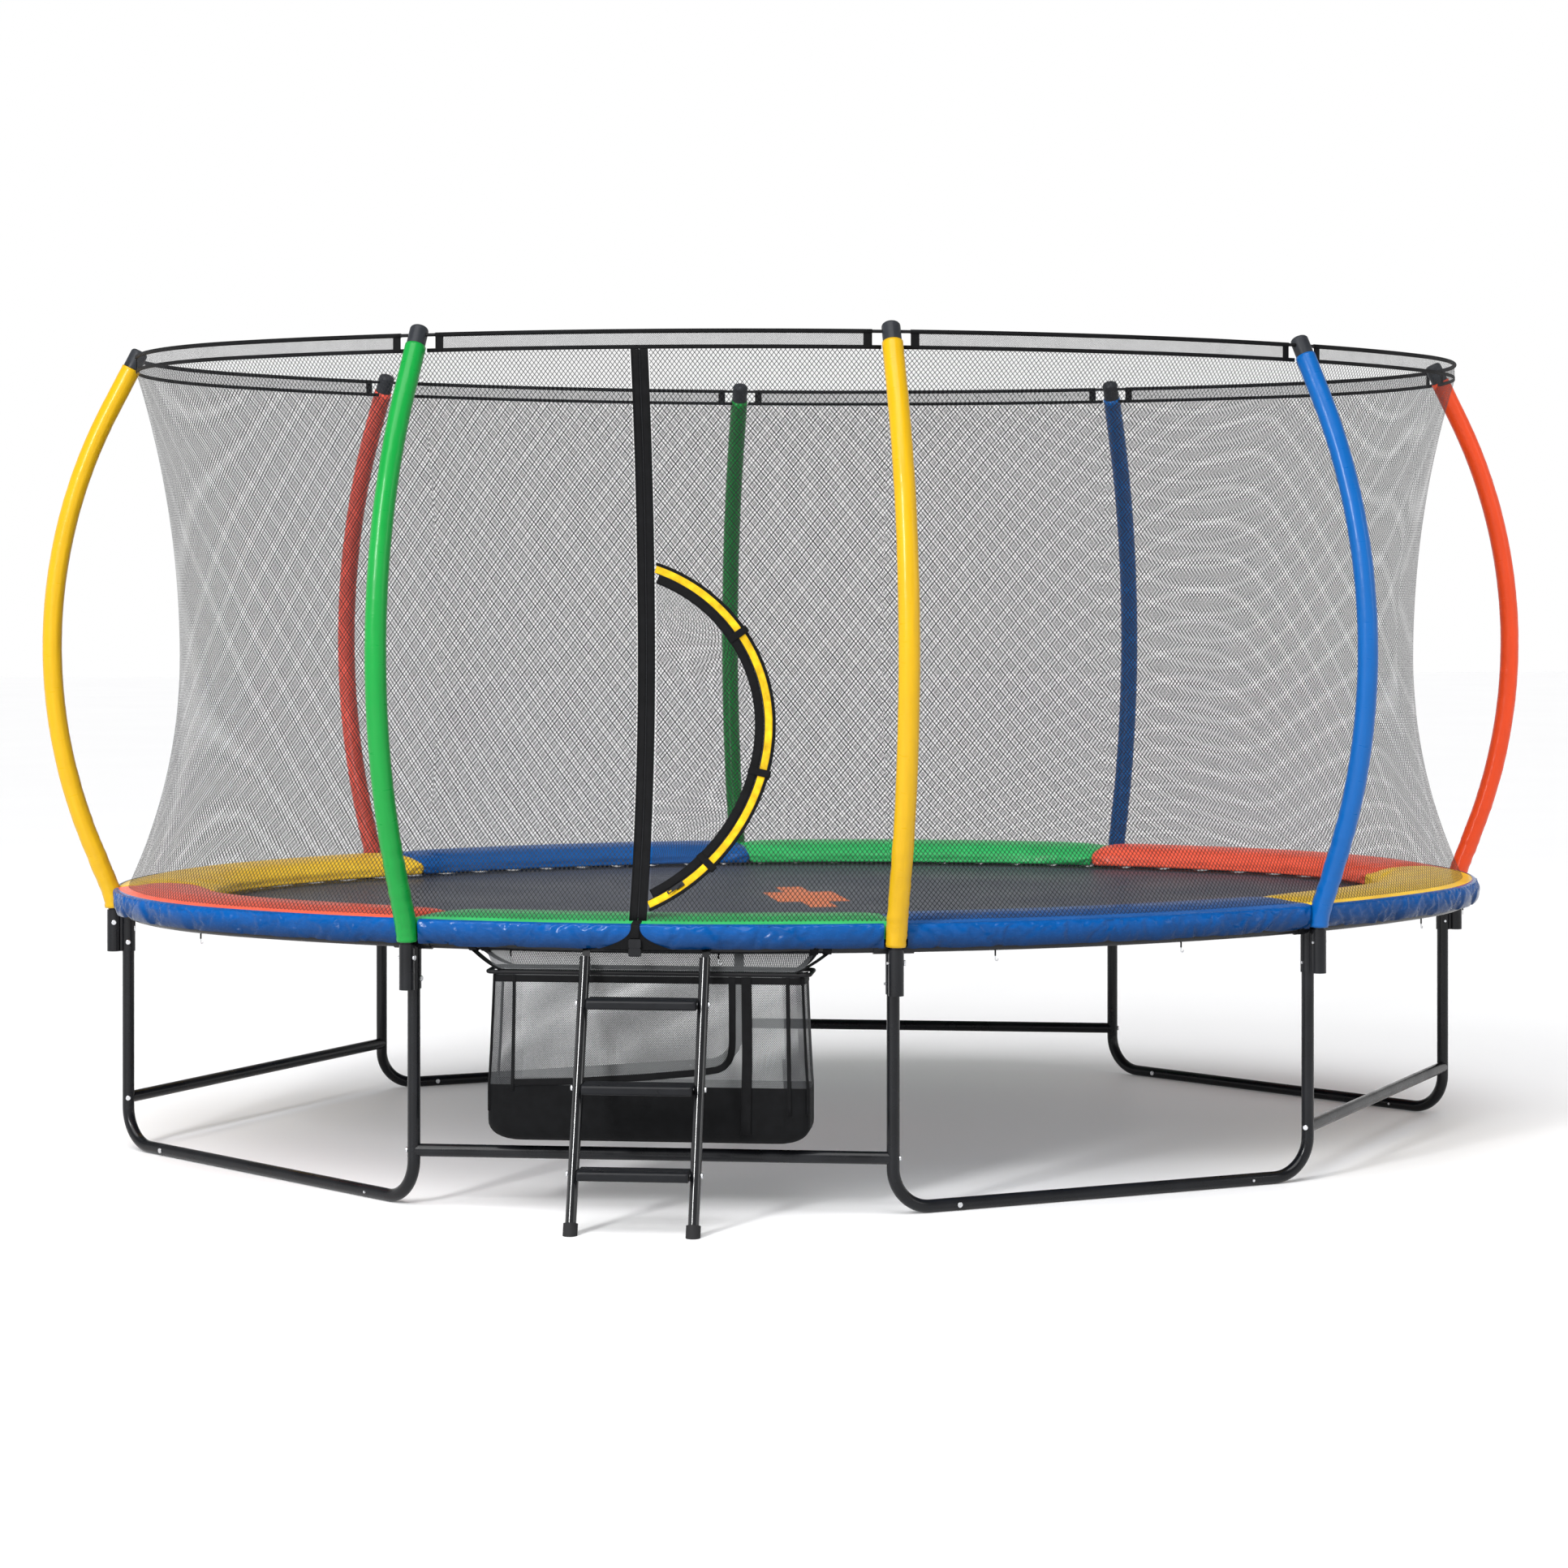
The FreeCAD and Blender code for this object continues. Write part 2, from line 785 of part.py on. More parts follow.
def plate_on_net(point, along, outward, length, width, thickness, lift):
    """A plate lying on the net's outside, its middle at point."""
    across = outward.cross(along).normalize()
    box = Part.makeBox(length, width, thickness, V(-length / 2, -width / 2, 0))
    matrix = FreeCAD.Matrix(
        along.x, across.x, outward.x, 0,
        along.y, across.y, outward.y, 0,
        along.z, across.z, outward.z, 0,
    )
    box = box.transformGeometry(matrix)
    box.translate(point + outward * lift)
    return box


def make_loops():
    """Webbing loops on the flap's tape, one of the door's ways of staying shut."""
    loops = []
    for height in loop_heights:
        point, along, outward = bow_spot(height)
        inward = along.cross(outward) * (-zip_gap / 2 - tape_width / 2)
        if inward.y > 0:
            inward = inward * -1
        lift = tape_thickness / 2 + soft_gap
        plate = plate_on_net(
            point + inward, along, outward, loop_width, tape_width, loop_thickness, lift
        )
        hole = plate_on_net(
            point + inward, along, outward, loop_width - 2 * loop_thickness, loop_length,
            loop_thickness / 3, lift + loop_thickness / 3,
        )
        loops.append(at_station(plate.cut(hole), strip_angle()))
    return loops


def slider_spot():
    """The slider's place on the bow's tape, clear of the flap's way out."""
    point, along, outward = bow_spot(slider_height)
    aside = along.cross(outward) * slider_aside
    if aside.y < 0:
        aside = aside * -1
    return point + aside, along, outward


def make_slider():
    point, along, outward = slider_spot()
    lift = tape_thickness / 2 + 2 * soft_gap
    body = plate_on_net(
        point, along, outward, slider_length, slider_width, slider_thickness, lift
    )
    nose = plate_on_net(
        point, along, outward, slider_length / 3, slider_width / 3, slider_thickness / 2,
        lift + slider_thickness,
    )
    pull_lift = lift + slider_thickness + soft_gap
    start = point - along * (slider_length / 6 + soft_gap + pull_length / 2)
    pull = plate_on_net(
        start, along, outward, pull_length, pull_width, pull_thickness, pull_lift
    )
    slot = plate_on_net(
        start - along * (pull_length / 4), along, outward, pull_length / 4,
        pull_width / 2, 2 * pull_thickness, pull_lift - pull_thickness / 2,
    )
    angle = strip_angle()
    slider = body.fuse(nose).removeSplitter()
    return at_station(slider, angle), at_station(pull.cut(slot), angle)


def make_foot_strap():
    """The strap from the strip's foot over the pad's edge to the buckle."""
    angle = strip_angle()
    half = angle_of_length(angle, foot_strap_width / 2)
    inner = net_foot_inset + tape_thickness / 2 + soft_gap
    face_offset = pad_outset + skirt_thickness + 2 * soft_gap
    t = foot_strap_thickness

    def section(r):
        edge_top = pad_bottom + pad_edge_thickness + 2 * soft_gap
        start = V(r + inner, 0, pad_top(inner) + 2 * soft_gap)
        middle_offset = (inner + face_offset) / 2
        middle = V(r + middle_offset, 0, pad_top(middle_offset) + 2 * soft_gap)
        corner = V(r + face_offset, 0, edge_top)
        foot = V(r + face_offset, 0, foot_strap_bottom)
        corners = [start, middle, corner, foot, foot + V(t, 0, 0), corner + V(t, 0, t)]
        corners += [middle + V(0, 0, t), start + V(0, 0, t)]
        return Part.Face(Part.makePolygon(corners + corners[:1]))
    return ring(section, angle - half, angle + half)


def make_buckle():
    """A side-release buckle: the body on the strap and the clip that pulls out below."""
    face_offset = pad_outset + skirt_thickness + 2 * soft_gap
    body = Part.makeBox(
        buckle_thickness, buckle_width, buckle_height,
        V(face_offset, -buckle_width / 2, foot_strap_bottom - soft_gap - buckle_height),
    )
    upright = [e for e in body.Edges if abs(e.tangentAt(e.FirstParameter).x) > 0.9]
    body = body.makeFillet(buckle_width / 8, upright)
    wall = buckle_thickness / 4
    top = foot_strap_bottom - soft_gap - buckle_height
    slot = Part.makeBox(
        buckle_thickness - 2 * wall, buckle_width - 4 * wall, buckle_height * 0.75,
        V(face_offset + wall, -buckle_width / 2 + 2 * wall, top),
    )
    gap = soft_gap
    tongue = Part.makeBox(
        buckle_thickness - 2 * wall - 2 * gap, buckle_width - 4 * wall - 2 * gap,
        buckle_height * 0.7 + gap,
        V(face_offset + wall + gap, -buckle_width / 2 + 2 * wall + gap, top - gap),
    )
    grip = Part.makeBox(
        buckle_thickness, buckle_width, clip_height,
        V(face_offset, -buckle_width / 2, top - gap - clip_height),
    )
    upright = [e for e in grip.Edges if abs(e.tangentAt(e.FirstParameter).x) > 0.9]
    grip = grip.makeFillet(buckle_width / 8, upright)
    angle = strip_angle()
    clip = at_station(grip.fuse(tongue).removeSplitter(), angle)
    return at_station(body.cut(slot), angle), clip


def oval_face(offset, height):
    edges = []
    for centre, radius, a, b in arcs_between(180.0 - join_angle, 540.0 - join_angle):
        reach = radius + offset

        def spot(t):
            t = math.radians(t)
            return centre + V(reach * math.cos(t), reach * math.sin(t), height)
        edges.append(Part.Arc(spot(a), spot((a + b) / 2), spot(b)).toShape())
    return Part.Face(Part.Wire(edges))


def make_mat():
    bottom = mat_height - mat_thickness / 2
    mat = oval_face(-mat_inset, bottom).extrude(V(0, 0, mat_thickness))
    edge = oval_face(-mat_inset, bottom - edge_thickness)
    edge = edge.cut(oval_face(-mat_inset - edge_width, bottom - edge_thickness))
    return mat, edge.extrude(V(0, 0, edge_thickness))


def spring_angles(index):
    """The directions of one bay's springs, evenly spaced along the rail."""
    arcs = arcs_between(leg_angles[index], leg_angles[index + 1])
    total = sum(radius * (b - a) for centre, radius, a, b in arcs)
    angles = []
    for k in range(springs_per_bay):
        left = total * (k + 0.5) / springs_per_bay
        for centre, radius, a, b in arcs:
            if left <= radius * (b - a):
                angles.append(a + left / radius)
                break
            left -= radius * (b - a)
    return angles


def make_spring():
    """A coil drawn as one plain barrel, with the wire of its two hooks."""
    start = -tube_radius - soft_gap
    end = -mat_inset + ring_depth + 2 * soft_gap
    r = spring_wire_radius
    corners = [
        V(start, 0, 0),
        V(start, 0, r),
        V(start - spring_hook_length, 0, r),
        V(start - spring_hook_length, 0, spring_radius),
        V(end + spring_hook_length, 0, spring_radius),
        V(end + spring_hook_length, 0, r),
        V(end, 0, r),
        V(end, 0, 0),
    ]
    face = Part.Face(Part.makePolygon(corners + corners[:1]))
    spring = face.revolve(ORIGIN, V(1, 0, 0), 360)
    spring.translate(V(0, 0, mat_height))
    return spring


def make_v_ring():
    base = -mat_inset + soft_gap
    apex = base + ring_depth
    half = ring_width / 2
    z = mat_height - ring_wire / 2

    def triangle(inset):
        corners = [
            V(base + inset, -half + 2 * inset, z),
            V(apex - inset, -ring_tip + inset / 3, z),
            V(apex - inset, ring_tip - inset / 3, z),
            V(base + inset, half - 2 * inset, z),
        ]
        return Part.Face(Part.makePolygon(corners + corners[:1]))
    face = triangle(0).cut(triangle(ring_wall))
    return face.extrude(V(0, 0, ring_wire))


def ladder_angle():
    return (leg_angles[door_bay - 1] + leg_angles[door_bay]) / 2


def ladder_axis():
    """The ladder's pivot on the rail, a point of its tube's line and the way down."""
    centre, radius = arc_at(ladder_angle())
    sag = radius - math.sqrt(radius ** 2 - (ladder_width / 2) ** 2)
    pivot = V(-sag, 0, rail_height)
    lean = math.radians(ladder_lean)
    down = V(math.sin(lean), 0, -math.cos(lean))
    out = V(math.cos(lean), 0, math.sin(lean))
    foot = pivot + out * (hook_radius + ladder_tube_radius)
    return pivot, foot, down


def ladder_spot(height):
    pivot, start, down = ladder_axis()
    return start + down * ((height - start.z) / down.z)


def make_ladder():
    pivot, start, down = ladder_axis()
    top = ladder_spot(ladder_top)
    foot_top = ladder_spot(foot_height)
    low = ladder_spot(foot_wall)
    rails = []
    feet = []
    hooks = []
    bolts_here = []
    treads = []
    ground_side = 4 * ladder_top
    floor = Part.makeBox(
        ground_side, ground_side, foot_height, V(-ground_side / 2, -ground_side / 2, -foot_height)
    )
    for side in (-1, 1):
        shift = V(0, side * ladder_width / 2, 0)
        bore = ladder_tube_radius - ladder_tube_wall
        rails.append(tube_between(top + shift, low + shift, ladder_tube_radius, bore))
        boot = cylinder_between(
            foot_top + shift, ladder_spot(-2 * foot_wall) + shift, ladder_tube_radius + foot_wall
        )
        boot = boot.cut(
            cylinder_between(foot_top + shift, low + shift, ladder_tube_radius + soft_gap)
        )
        feet.append(boot.cut(floor))
        hooks.append(make_ladder_hook(pivot, top, shift))
    for height in tread_heights:
        spot = ladder_spot(height)
        half = ladder_width / 2 - ladder_tube_radius - soft_gap
        plate = Part.makeBox(
            tread_depth, 2 * half, tread_thickness,
            V(spot.x - tread_depth / 2, -half, spot.z - tread_thickness / 2),
        )
        long_edges = [e for e in plate.Edges if abs(e.tangentAt(e.FirstParameter).y) > 0.9]
        treads.append(plate.makeFillet(tread_round, long_edges))
        for side in (-1, 1):
            heading = V(0, -side, 0)
            middle = spot + V(0, side * ladder_width / 2, 0)
            begin = middle - heading * ladder_tube_radius
            length = 2 * ladder_tube_radius + 3 * bolt_head_height
            bolts_here.append(bolt(begin, heading, length))
            hole = bolt_hole(begin, heading, length)
            treads[-1] = treads[-1].cut(hole)
            which = 0 if side < 0 else 1
            rails[which] = rails[which].cut(hole)
    place = ladder_angle()
    groups = (rails, treads, feet, hooks, bolts_here)
    return [[at_station(shape, place) for shape in group] for group in groups]


def make_ladder_hook(pivot, top, shift):
    """A strip bent over the rail, with a plug that fills the head of the ladder's tube."""
    face = disc(pivot.x, pivot.z, hook_radius).cut(disc(pivot.x, pivot.z, hook_bore))
    wedge_reach = 3 * hook_radius
    spread = (360 - hook_wrap) / 2
    wedge = []
    facing = 180 + hook_mouth_share * hook_wrap
    for turn in (-spread, -spread / 2, 0, spread / 2, spread):
        a = math.radians(facing + turn)
        wedge.append(pivot + V(math.cos(a), 0, math.sin(a)) * wedge_reach)
    mouth = Part.Face(Part.makePolygon([pivot] + wedge + [pivot]))
    strip = face.cut(mouth).Faces[0].extrude(V(0, hook_width, 0))
    strip.translate(V(0, -hook_width / 2, 0) + shift)
    lean = math.radians(ladder_lean)
    down = V(math.sin(lean), 0, -math.cos(lean))
    out = V(math.cos(lean), 0, math.sin(lean))
    root = pivot + out * (hook_bore + hook_thickness / 2)
    head = top - down * hook_thickness
    length = (head - root).dot(down)
    tongue = Part.makeBox(
        hook_thickness, hook_width, length, V(-hook_thickness / 2, -hook_width / 2, -length)
    )
    tongue.rotate(ORIGIN, V(0, 1, 0), -ladder_lean)
    tongue.translate(root + shift)
    plate = Part.makeCylinder(ladder_tube_radius, hook_thickness, head + shift, down)
    plug_radius = ladder_tube_radius - ladder_tube_wall - soft_gap
    plug = Part.makeCylinder(plug_radius, ladder_tube_radius, top + shift - down, down)
    reach = ladder_tube_radius + hook_thickness
    shelf = Part.makeBox(reach, hook_width, hook_thickness, V(-reach, -hook_width / 2, 0))
    shelf.rotate(ORIGIN, V(0, 1, 0), -ladder_lean)
    shelf.translate(head + shift)
    return joined([strip, tongue, shelf, plate, plug])


def bag_box(inset, bottom, top):
    front = -bag_front_inset - inset
    length = bag_length - 2 * inset
    box = Part.makeBox(
        bag_depth - 2 * inset, length, top - bottom,
        V(front - bag_depth + 2 * inset, -length / 2, bottom),
    )
    side_round = bag_side_round - inset
    upright = [e for e in box.Edges if abs(e.tangentAt(e.FirstParameter).z) > 0.9]
    box = box.makeFillet(side_round, upright)
    low = [e for e in box.Edges if abs(e.BoundBox.ZMax - bottom) < 1e-6]
    return box.makeFillet(side_round - bag_wall / 2, low)


def make_bag():
    """The hanging bag: a mesh body on a closed base, the rod of its rim and its straps."""
    shell = bag_box(0, bag_bottom, bag_top)
    shell = shell.cut(bag_box(bag_wall, bag_bottom + bag_wall, bag_top + bag_depth))
    lower = Part.makeBox(
        4 * bag_depth, 2 * bag_length, bag_base_top, V(-2 * bag_depth, -bag_length, 0)
    )
    base = shell.common(lower)
    body = shell.cut(lower)
    rim_height = bag_top + bag_rod_radius + soft_gap
    x_front = -bag_front_inset - bag_wall / 2
    x_back = -bag_front_inset - bag_depth + bag_wall / 2
    y_end = bag_length / 2 - bag_wall / 2
    loop = Part.Face(Part.makePolygon([
        V(x_back, -y_end, rim_height), V(x_front, -y_end, rim_height),
        V(x_front, y_end, rim_height), V(x_back, y_end, rim_height),
        V(x_back, -y_end, rim_height),
    ]))
    block = loop.extrude(V(0, 0, bag_side_round))
    upright = [e for e in block.Edges if abs(e.tangentAt(e.FirstParameter).z) > 0.9]
    block = block.makeFillet(bag_side_round, upright)
    foot = [f for f in block.Faces if abs(f.CenterOfMass.z - rim_height) < 1e-6][0]
    path = foot.OuterWire
    edge = path.OrderedEdges[0]
    start = edge.valueAt(edge.FirstParameter)
    heading = edge.tangentAt(edge.FirstParameter)
    profile = Part.Wire([Part.makeCircle(bag_rod_radius, start, heading)])
    rim = path.makePipeShell([profile], True, False)
    place = ladder_angle()
    straps = []
    for side in (-1, 1):
        for x in (x_front, x_back):
            y = side * (y_end - 2 * bag_side_round)
            straps.append(make_bag_strap(side, x, y, rim_height))
    return [at_station(s, place) for s in (body, base, rim)], straps


def make_bag_strap(side, x, y, rim_height):
    """A strap from the bag's rim to the rail, looped round the rail at its head."""
    place = ladder_angle()
    radius = arc_at(place)[1]
    reach = bag_strap_reach
    if x < -bag_depth / 2:
        reach -= bag_strap_spacing
    angle = place + side * math.degrees(math.asin(reach / radius))
    half = angle_of_length(angle, bag_strap_width / 2)
    bore = tube_radius + soft_gap
    outer = bore + bag_strap_thickness
    loop = ring(round_section(0, rail_height, outer, bore), angle - half, angle + half)
    start = rail_point(angle, 0, rail_height - bore - bag_strap_thickness / 2)
    foot_height = rim_height + bag_rod_radius + bag_strap_thickness / 2
    foot = Part.Vertex(x, y, foot_height)
    foot = at_station(foot, place).Point
    run = start - foot
    across = run.cross(UP).normalize()
    width = bag_strap_width / 2
    facing = run.cross(across).normalize() * (bag_strap_thickness / 2)
    corners = [foot - across * width, foot + across * width]
    corners += [start + across * width, start - across * width]
    face = Part.Face(Part.makePolygon([c - facing for c in corners + corners[:1]]))
    strap = face.extrude(facing * 2)
    room = ring(round_section(0, rail_height, bore), angle - 3 * half, angle + 3 * half)
    return joined([loop, strap]).cut(room)


def tie_angles(index):
    a = leg_angles[index]
    b = leg_angles[index + 1]
    return [a + (b - a) * (k + 0.5) * tie_pitch for k in range(ties_per_bay)]


def make_tie():
    """A tie that hangs from the rail and ends in a small open hook."""
    start = rail_height - tube_radius - soft_gap
    edges, end = walk(0, start, 180.0, [(tie_drop,), (tie_hook_radius, 20.0)])
    return rod_along(edges, tie_radius)


def write(name, shapes):
    """Write one node. A group of like pieces stays a group of separate solids."""
    solids = []
    for shape in shapes:
        solids += shape.Solids
    shape = solids[0] if len(solids) == 1 else Part.makeCompound(solids)
    shape.exportStep("parts/%s.step" % name)
    volume = sum(s.Volume for s in solids)
    valid = all(s.isValid() for s in solids)
    print("%-20s %3d solids %12.0f mm3 valid %s" % (name, len(solids), volume, valid))


def main():
    os.makedirs("parts", exist_ok=True)
    legs, brackets, base, bars, holes = make_legs_and_bars()
    for i in range(8):
        write("top_rail_%d" % (i + 1), [make_top_rail(i)])
        write("leg_%d" % (i + 1), [legs[i]])
    write("pole_brackets", brackets)
    write("base_tubes", base)
    write("stretcher_bars", bars)
    pole = make_pole()
    poles = []
    for i, angle in enumerate(leg_angles[:8]):
        poles.append(at_station(pole, angle).cut(holes[4 * i + 1]))
    write("enclosure_poles", poles)
    for name, owners in (
        ("sleeves_yellow", (1, 3)),
        ("sleeves_green", (2, 7)),
        ("sleeves_blue", (4, 6)),
        ("sleeve_orange", (5,)),
        ("sleeve_red", (8,)),
    ):
        write(name, [make_sleeve(leg_angles[i - 1]) for i in owners])
    write("pole_caps", [make_cap(a) for a in leg_angles[:8]])
    write("ring_rods", [make_ring_rod(i) for i in range(8)])
    write("net_top_band", [make_band(i) for i in range(8)])
    room = sleeve_room()
    panels = [make_net_panel(i, room) for i in range(8) if i != door_bay - 1]
    write("net_panels", panels)
    panel, strip, bow, edge, flap = make_door(room)
    write("net_door_panel", [panel])
    write("door_strip", [strip])
    write("door_bow", [bow])
    write("door_edge_tape", [edge])
    write("door_flap", [flap])
    write("door_loops", make_loops())
    slider, pull = make_slider()
    write("zip_slider", [slider])
    write("zip_pull", [pull])
    write("door_foot_strap", [make_foot_strap()])
    body, clip = make_buckle()
    write("buckle_body", [body])
    write("buckle_clip", [clip])
    for name, owners in (
        ("pads_red", (1, 5)),
        ("pads_green", (2, 6)),
        ("pads_blue", (3, 7)),
        ("pads_yellow", (4, 8)),
    ):
        write(name, [make_pad(i - 1, room) for i in owners])
    write("pad_skirt", [make_skirt(i, room) for i in range(8)])
    mat, edge = make_mat()
    write("mat", [mat])
    write("mat_edge", [edge])
    spring = make_spring()
    v_ring = make_v_ring()
    angles = [a for i in range(8) for a in spring_angles(i)]
    write("springs", [at_station(spring, a) for a in angles])
    write("v_rings", [at_station(v_ring, a) for a in angles])
    rails, treads, feet, hooks, ladder_bolts = make_ladder()
    write("ladder_rails", rails)
    write("ladder_treads", treads)
    write("ladder_feet", feet)
    write("ladder_hooks", hooks)
    write("ladder_bolts", ladder_bolts)
    (bag, bag_base, rim), straps = make_bag()
    write("bag_body", [bag])
    write("bag_base", [bag_base])
    write("bag_rim", [rim])
    write("bag_straps", straps)
    tie = make_tie()
    write("pad_ties", [at_station(tie, a) for i in range(8) for a in tie_angles(i)])
    write("frame_bolts", bolts)


main()
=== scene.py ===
# %% [markdown]
# # An oval trampoline, dressed in Blender
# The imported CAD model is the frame: every tube, cap and joint is already in its place, in metres,
# with +Z up. This lesson adds what cloth, foam, wire and paint look like. Each piece is made in
# mesh code and then told which moving body it rides on.

import json
import math

import bmesh
import bpy
import numpy as np
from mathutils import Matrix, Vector


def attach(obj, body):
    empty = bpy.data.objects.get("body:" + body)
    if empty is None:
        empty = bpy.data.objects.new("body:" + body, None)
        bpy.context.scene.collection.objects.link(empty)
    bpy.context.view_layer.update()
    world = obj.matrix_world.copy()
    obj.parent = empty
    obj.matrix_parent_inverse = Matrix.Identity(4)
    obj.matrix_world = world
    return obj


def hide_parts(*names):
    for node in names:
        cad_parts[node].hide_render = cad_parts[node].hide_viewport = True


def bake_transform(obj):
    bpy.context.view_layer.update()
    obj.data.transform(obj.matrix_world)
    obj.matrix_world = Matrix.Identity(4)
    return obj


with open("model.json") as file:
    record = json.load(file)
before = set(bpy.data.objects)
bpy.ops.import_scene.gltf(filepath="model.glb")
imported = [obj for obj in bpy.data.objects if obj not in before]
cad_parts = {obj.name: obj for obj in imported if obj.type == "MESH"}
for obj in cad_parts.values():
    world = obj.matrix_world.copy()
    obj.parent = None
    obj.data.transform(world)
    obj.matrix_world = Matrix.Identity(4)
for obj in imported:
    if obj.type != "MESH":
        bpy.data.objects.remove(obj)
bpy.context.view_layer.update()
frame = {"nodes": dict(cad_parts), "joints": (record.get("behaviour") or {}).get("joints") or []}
joints = {j["name"]: j for j in frame["joints"]}

# %% [markdown]
# ## The oval
# The top rail is an oval of four arcs. Everything on the trampoline stands at a direction round
# that oval, so one helper turns "this far out, this far along, this high, at this direction"
# into a point. The sizes are the same ones the frame was drawn with.

# %% The rail's plan
RAIL_HALF_LENGTH = 2.240
RAIL_HALF_WIDTH = 1.560
TIP_RADIUS = 1.100
SIDE_RADIUS = (RAIL_HALF_LENGTH ** 2 + RAIL_HALF_WIDTH ** 2
               - 2 * RAIL_HALF_LENGTH * TIP_RADIUS) / (2 * (RAIL_HALF_WIDTH - TIP_RADIUS))
TIP_CENTRE = RAIL_HALF_LENGTH - TIP_RADIUS
SIDE_CENTRE = SIDE_RADIUS - RAIL_HALF_WIDTH
JOIN = math.degrees(math.atan2(SIDE_CENTRE, TIP_CENTRE))
LEG_ANGLES = [180, 240, 270, 300, 360, 420, 450, 480, 540]
RAIL_HEIGHT = 0.785


def arc_at(angle):
    """Centre (x, y) and radius of the rail's arc that faces this direction, in degrees."""
    a = (angle + JOIN) % 360
    if a < 2 * JOIN:
        return (TIP_CENTRE, 0.0), TIP_RADIUS
    if a < 180:
        return (0.0, -SIDE_CENTRE), SIDE_RADIUS
    if a < 180 + 2 * JOIN:
        return (-TIP_CENTRE, 0.0), TIP_RADIUS
    return (0.0, SIDE_CENTRE), SIDE_RADIUS


def station(angle, out=0.0, up=0.0):
    """The point at a direction: out from the rail's middle line, up from the ground."""
    (cx, cy), radius = arc_at(angle)
    a = math.radians(angle)
    reach = radius + out
    return np.array([cx + reach * math.cos(a), cy + reach * math.sin(a), up])


def facing(angle):
    """Outward and along-the-rail directions, both level."""
    a = math.radians(angle)
    return np.array([math.cos(a), math.sin(a), 0.0]), np.array([-math.sin(a), math.cos(a), 0.0])


def local_point(angle, x, y, z):
    """A point in the flat axes at a direction: x out, y along, z up."""
    return station(angle, x, z) + facing(angle)[1] * y


def run_of(points):
    """The distance walked along a line, at each of its points."""
    return np.concatenate([[0], np.cumsum(np.linalg.norm(np.diff(points, axis=0), axis=1))])


def at_distances(points, places):
    """The points of a line that lie at the given distances along it."""
    run = run_of(points)
    return np.stack([np.interp(places, run, column) for column in np.transpose(points)], axis=-1)


def unit(vectors):
    """The same directions, each one long."""
    return vectors / np.linalg.norm(vectors, axis=-1, keepdims=True)


def directions(start, end, step):
    """Directions from start to end, about step metres apart along the rail, and the length."""
    fine = np.linspace(start, end, 400)
    run = run_of([station(a) for a in fine])
    count = max(2, int(round(run[-1] / step)) + 1)
    return np.interp(np.linspace(0, run[-1], count), run, fine), run[-1]


print("side arc radius %.3f m, arcs meet at %.2f degrees" % (SIDE_RADIUS, JOIN))

# %% [markdown]
# ## Mesh helpers
# Cloth, tape and foam are all grids of points. One helper makes a mesh from a grid and lays its
# UV map out in metres, so that a weave has the same scale on every piece. A second one
# makes a tape with a real thickness from its middle line.

# %% Grid, tape and tube
SOFT_SEED = 11
noise_table = np.random.default_rng(SOFT_SEED).uniform(-1, 1, (64, 64, 64))


def wavy(points, scale, octaves=2):
    """Smooth noise from -1 to 1 at each point, with features about scale metres long."""
    total = np.zeros(len(points))
    weight = 1.0
    for k in range(octaves):
        q = points / scale * 2 ** k + 7.3 * (k + 1)
        base = np.floor(q).astype(int)
        f = q - base
        f = f * f * (3 - 2 * f)
        value = np.zeros(len(points))
        for dx in (0, 1):
            for dy in (0, 1):
                for dz in (0, 1):
                    corner = noise_table[(base[:, 0] + dx) % 64, (base[:, 1] + dy) % 64,
                                         (base[:, 2] + dz) % 64]
                    share = (np.abs(1 - dx - f[:, 0]) * np.abs(1 - dy - f[:, 1])
                             * np.abs(1 - dz - f[:, 2]))
                    value += corner * share
        total += value * weight
        weight *= 0.5
    return total


def link(name, mesh):
    piece = bpy.data.objects.new(name, mesh)
    bpy.context.scene.collection.objects.link(piece)
    return piece


def grid_piece(name, grid, loop_u=False, loop_v=False, cap=False):
    """A smooth mesh from grid[u][v], with UVs in metres. cap closes the two ends of a tube."""
    grid = np.asarray(grid, float)
    nu, nv = grid.shape[:2]
    middle_u, middle_v = grid[:, nv // 2], grid[nu // 2]
    run_u = run_of(np.append(middle_u, middle_u[:1], axis=0))
    run_v = run_of(np.append(middle_v, middle_v[:1], axis=0))
    faces, corners = [], []
    for i in range(nu if loop_u else nu - 1):
        for j in range(nv if loop_v else nv - 1):
            across, up = (i + 1) % nu, (j + 1) % nv
            faces.append((i * nv + j, across * nv + j, across * nv + up, i * nv + up))
            (u0, u1), (v0, v1) = run_u[i:i + 2], run_v[j:j + 2]
            corners += [(u0, v0), (u1, v0), (u1, v1), (u0, v1)]
    if cap:
        faces.append(tuple(range(nv)))
        faces.append(tuple((nu - 1) * nv + j for j in reversed(range(nv))))
        corners += [(0.0, 0.0)] * (2 * nv)
    mesh = bpy.data.meshes.new(name)
    mesh.from_pydata(grid.reshape(-1, 3).tolist(), [], faces)
    mesh.uv_layers.new(name="metres").data.foreach_set("uv", np.ravel(corners))
    mesh.shade_smooth()
    mesh.validate()
    bm = bmesh.new()
    bm.from_mesh(mesh)
    if loop_v or cap:
        bmesh.ops.recalc_face_normals(bm, faces=bm.faces)
    bm.to_mesh(mesh)
    bm.free()
    return link(name, mesh)


def rows_piece(name, rows, **closed):
    """The same from rows[v][u], for a sheet that is built up row by row."""
    return grid_piece(name, np.transpose(rows, (1, 0, 2)), **closed)


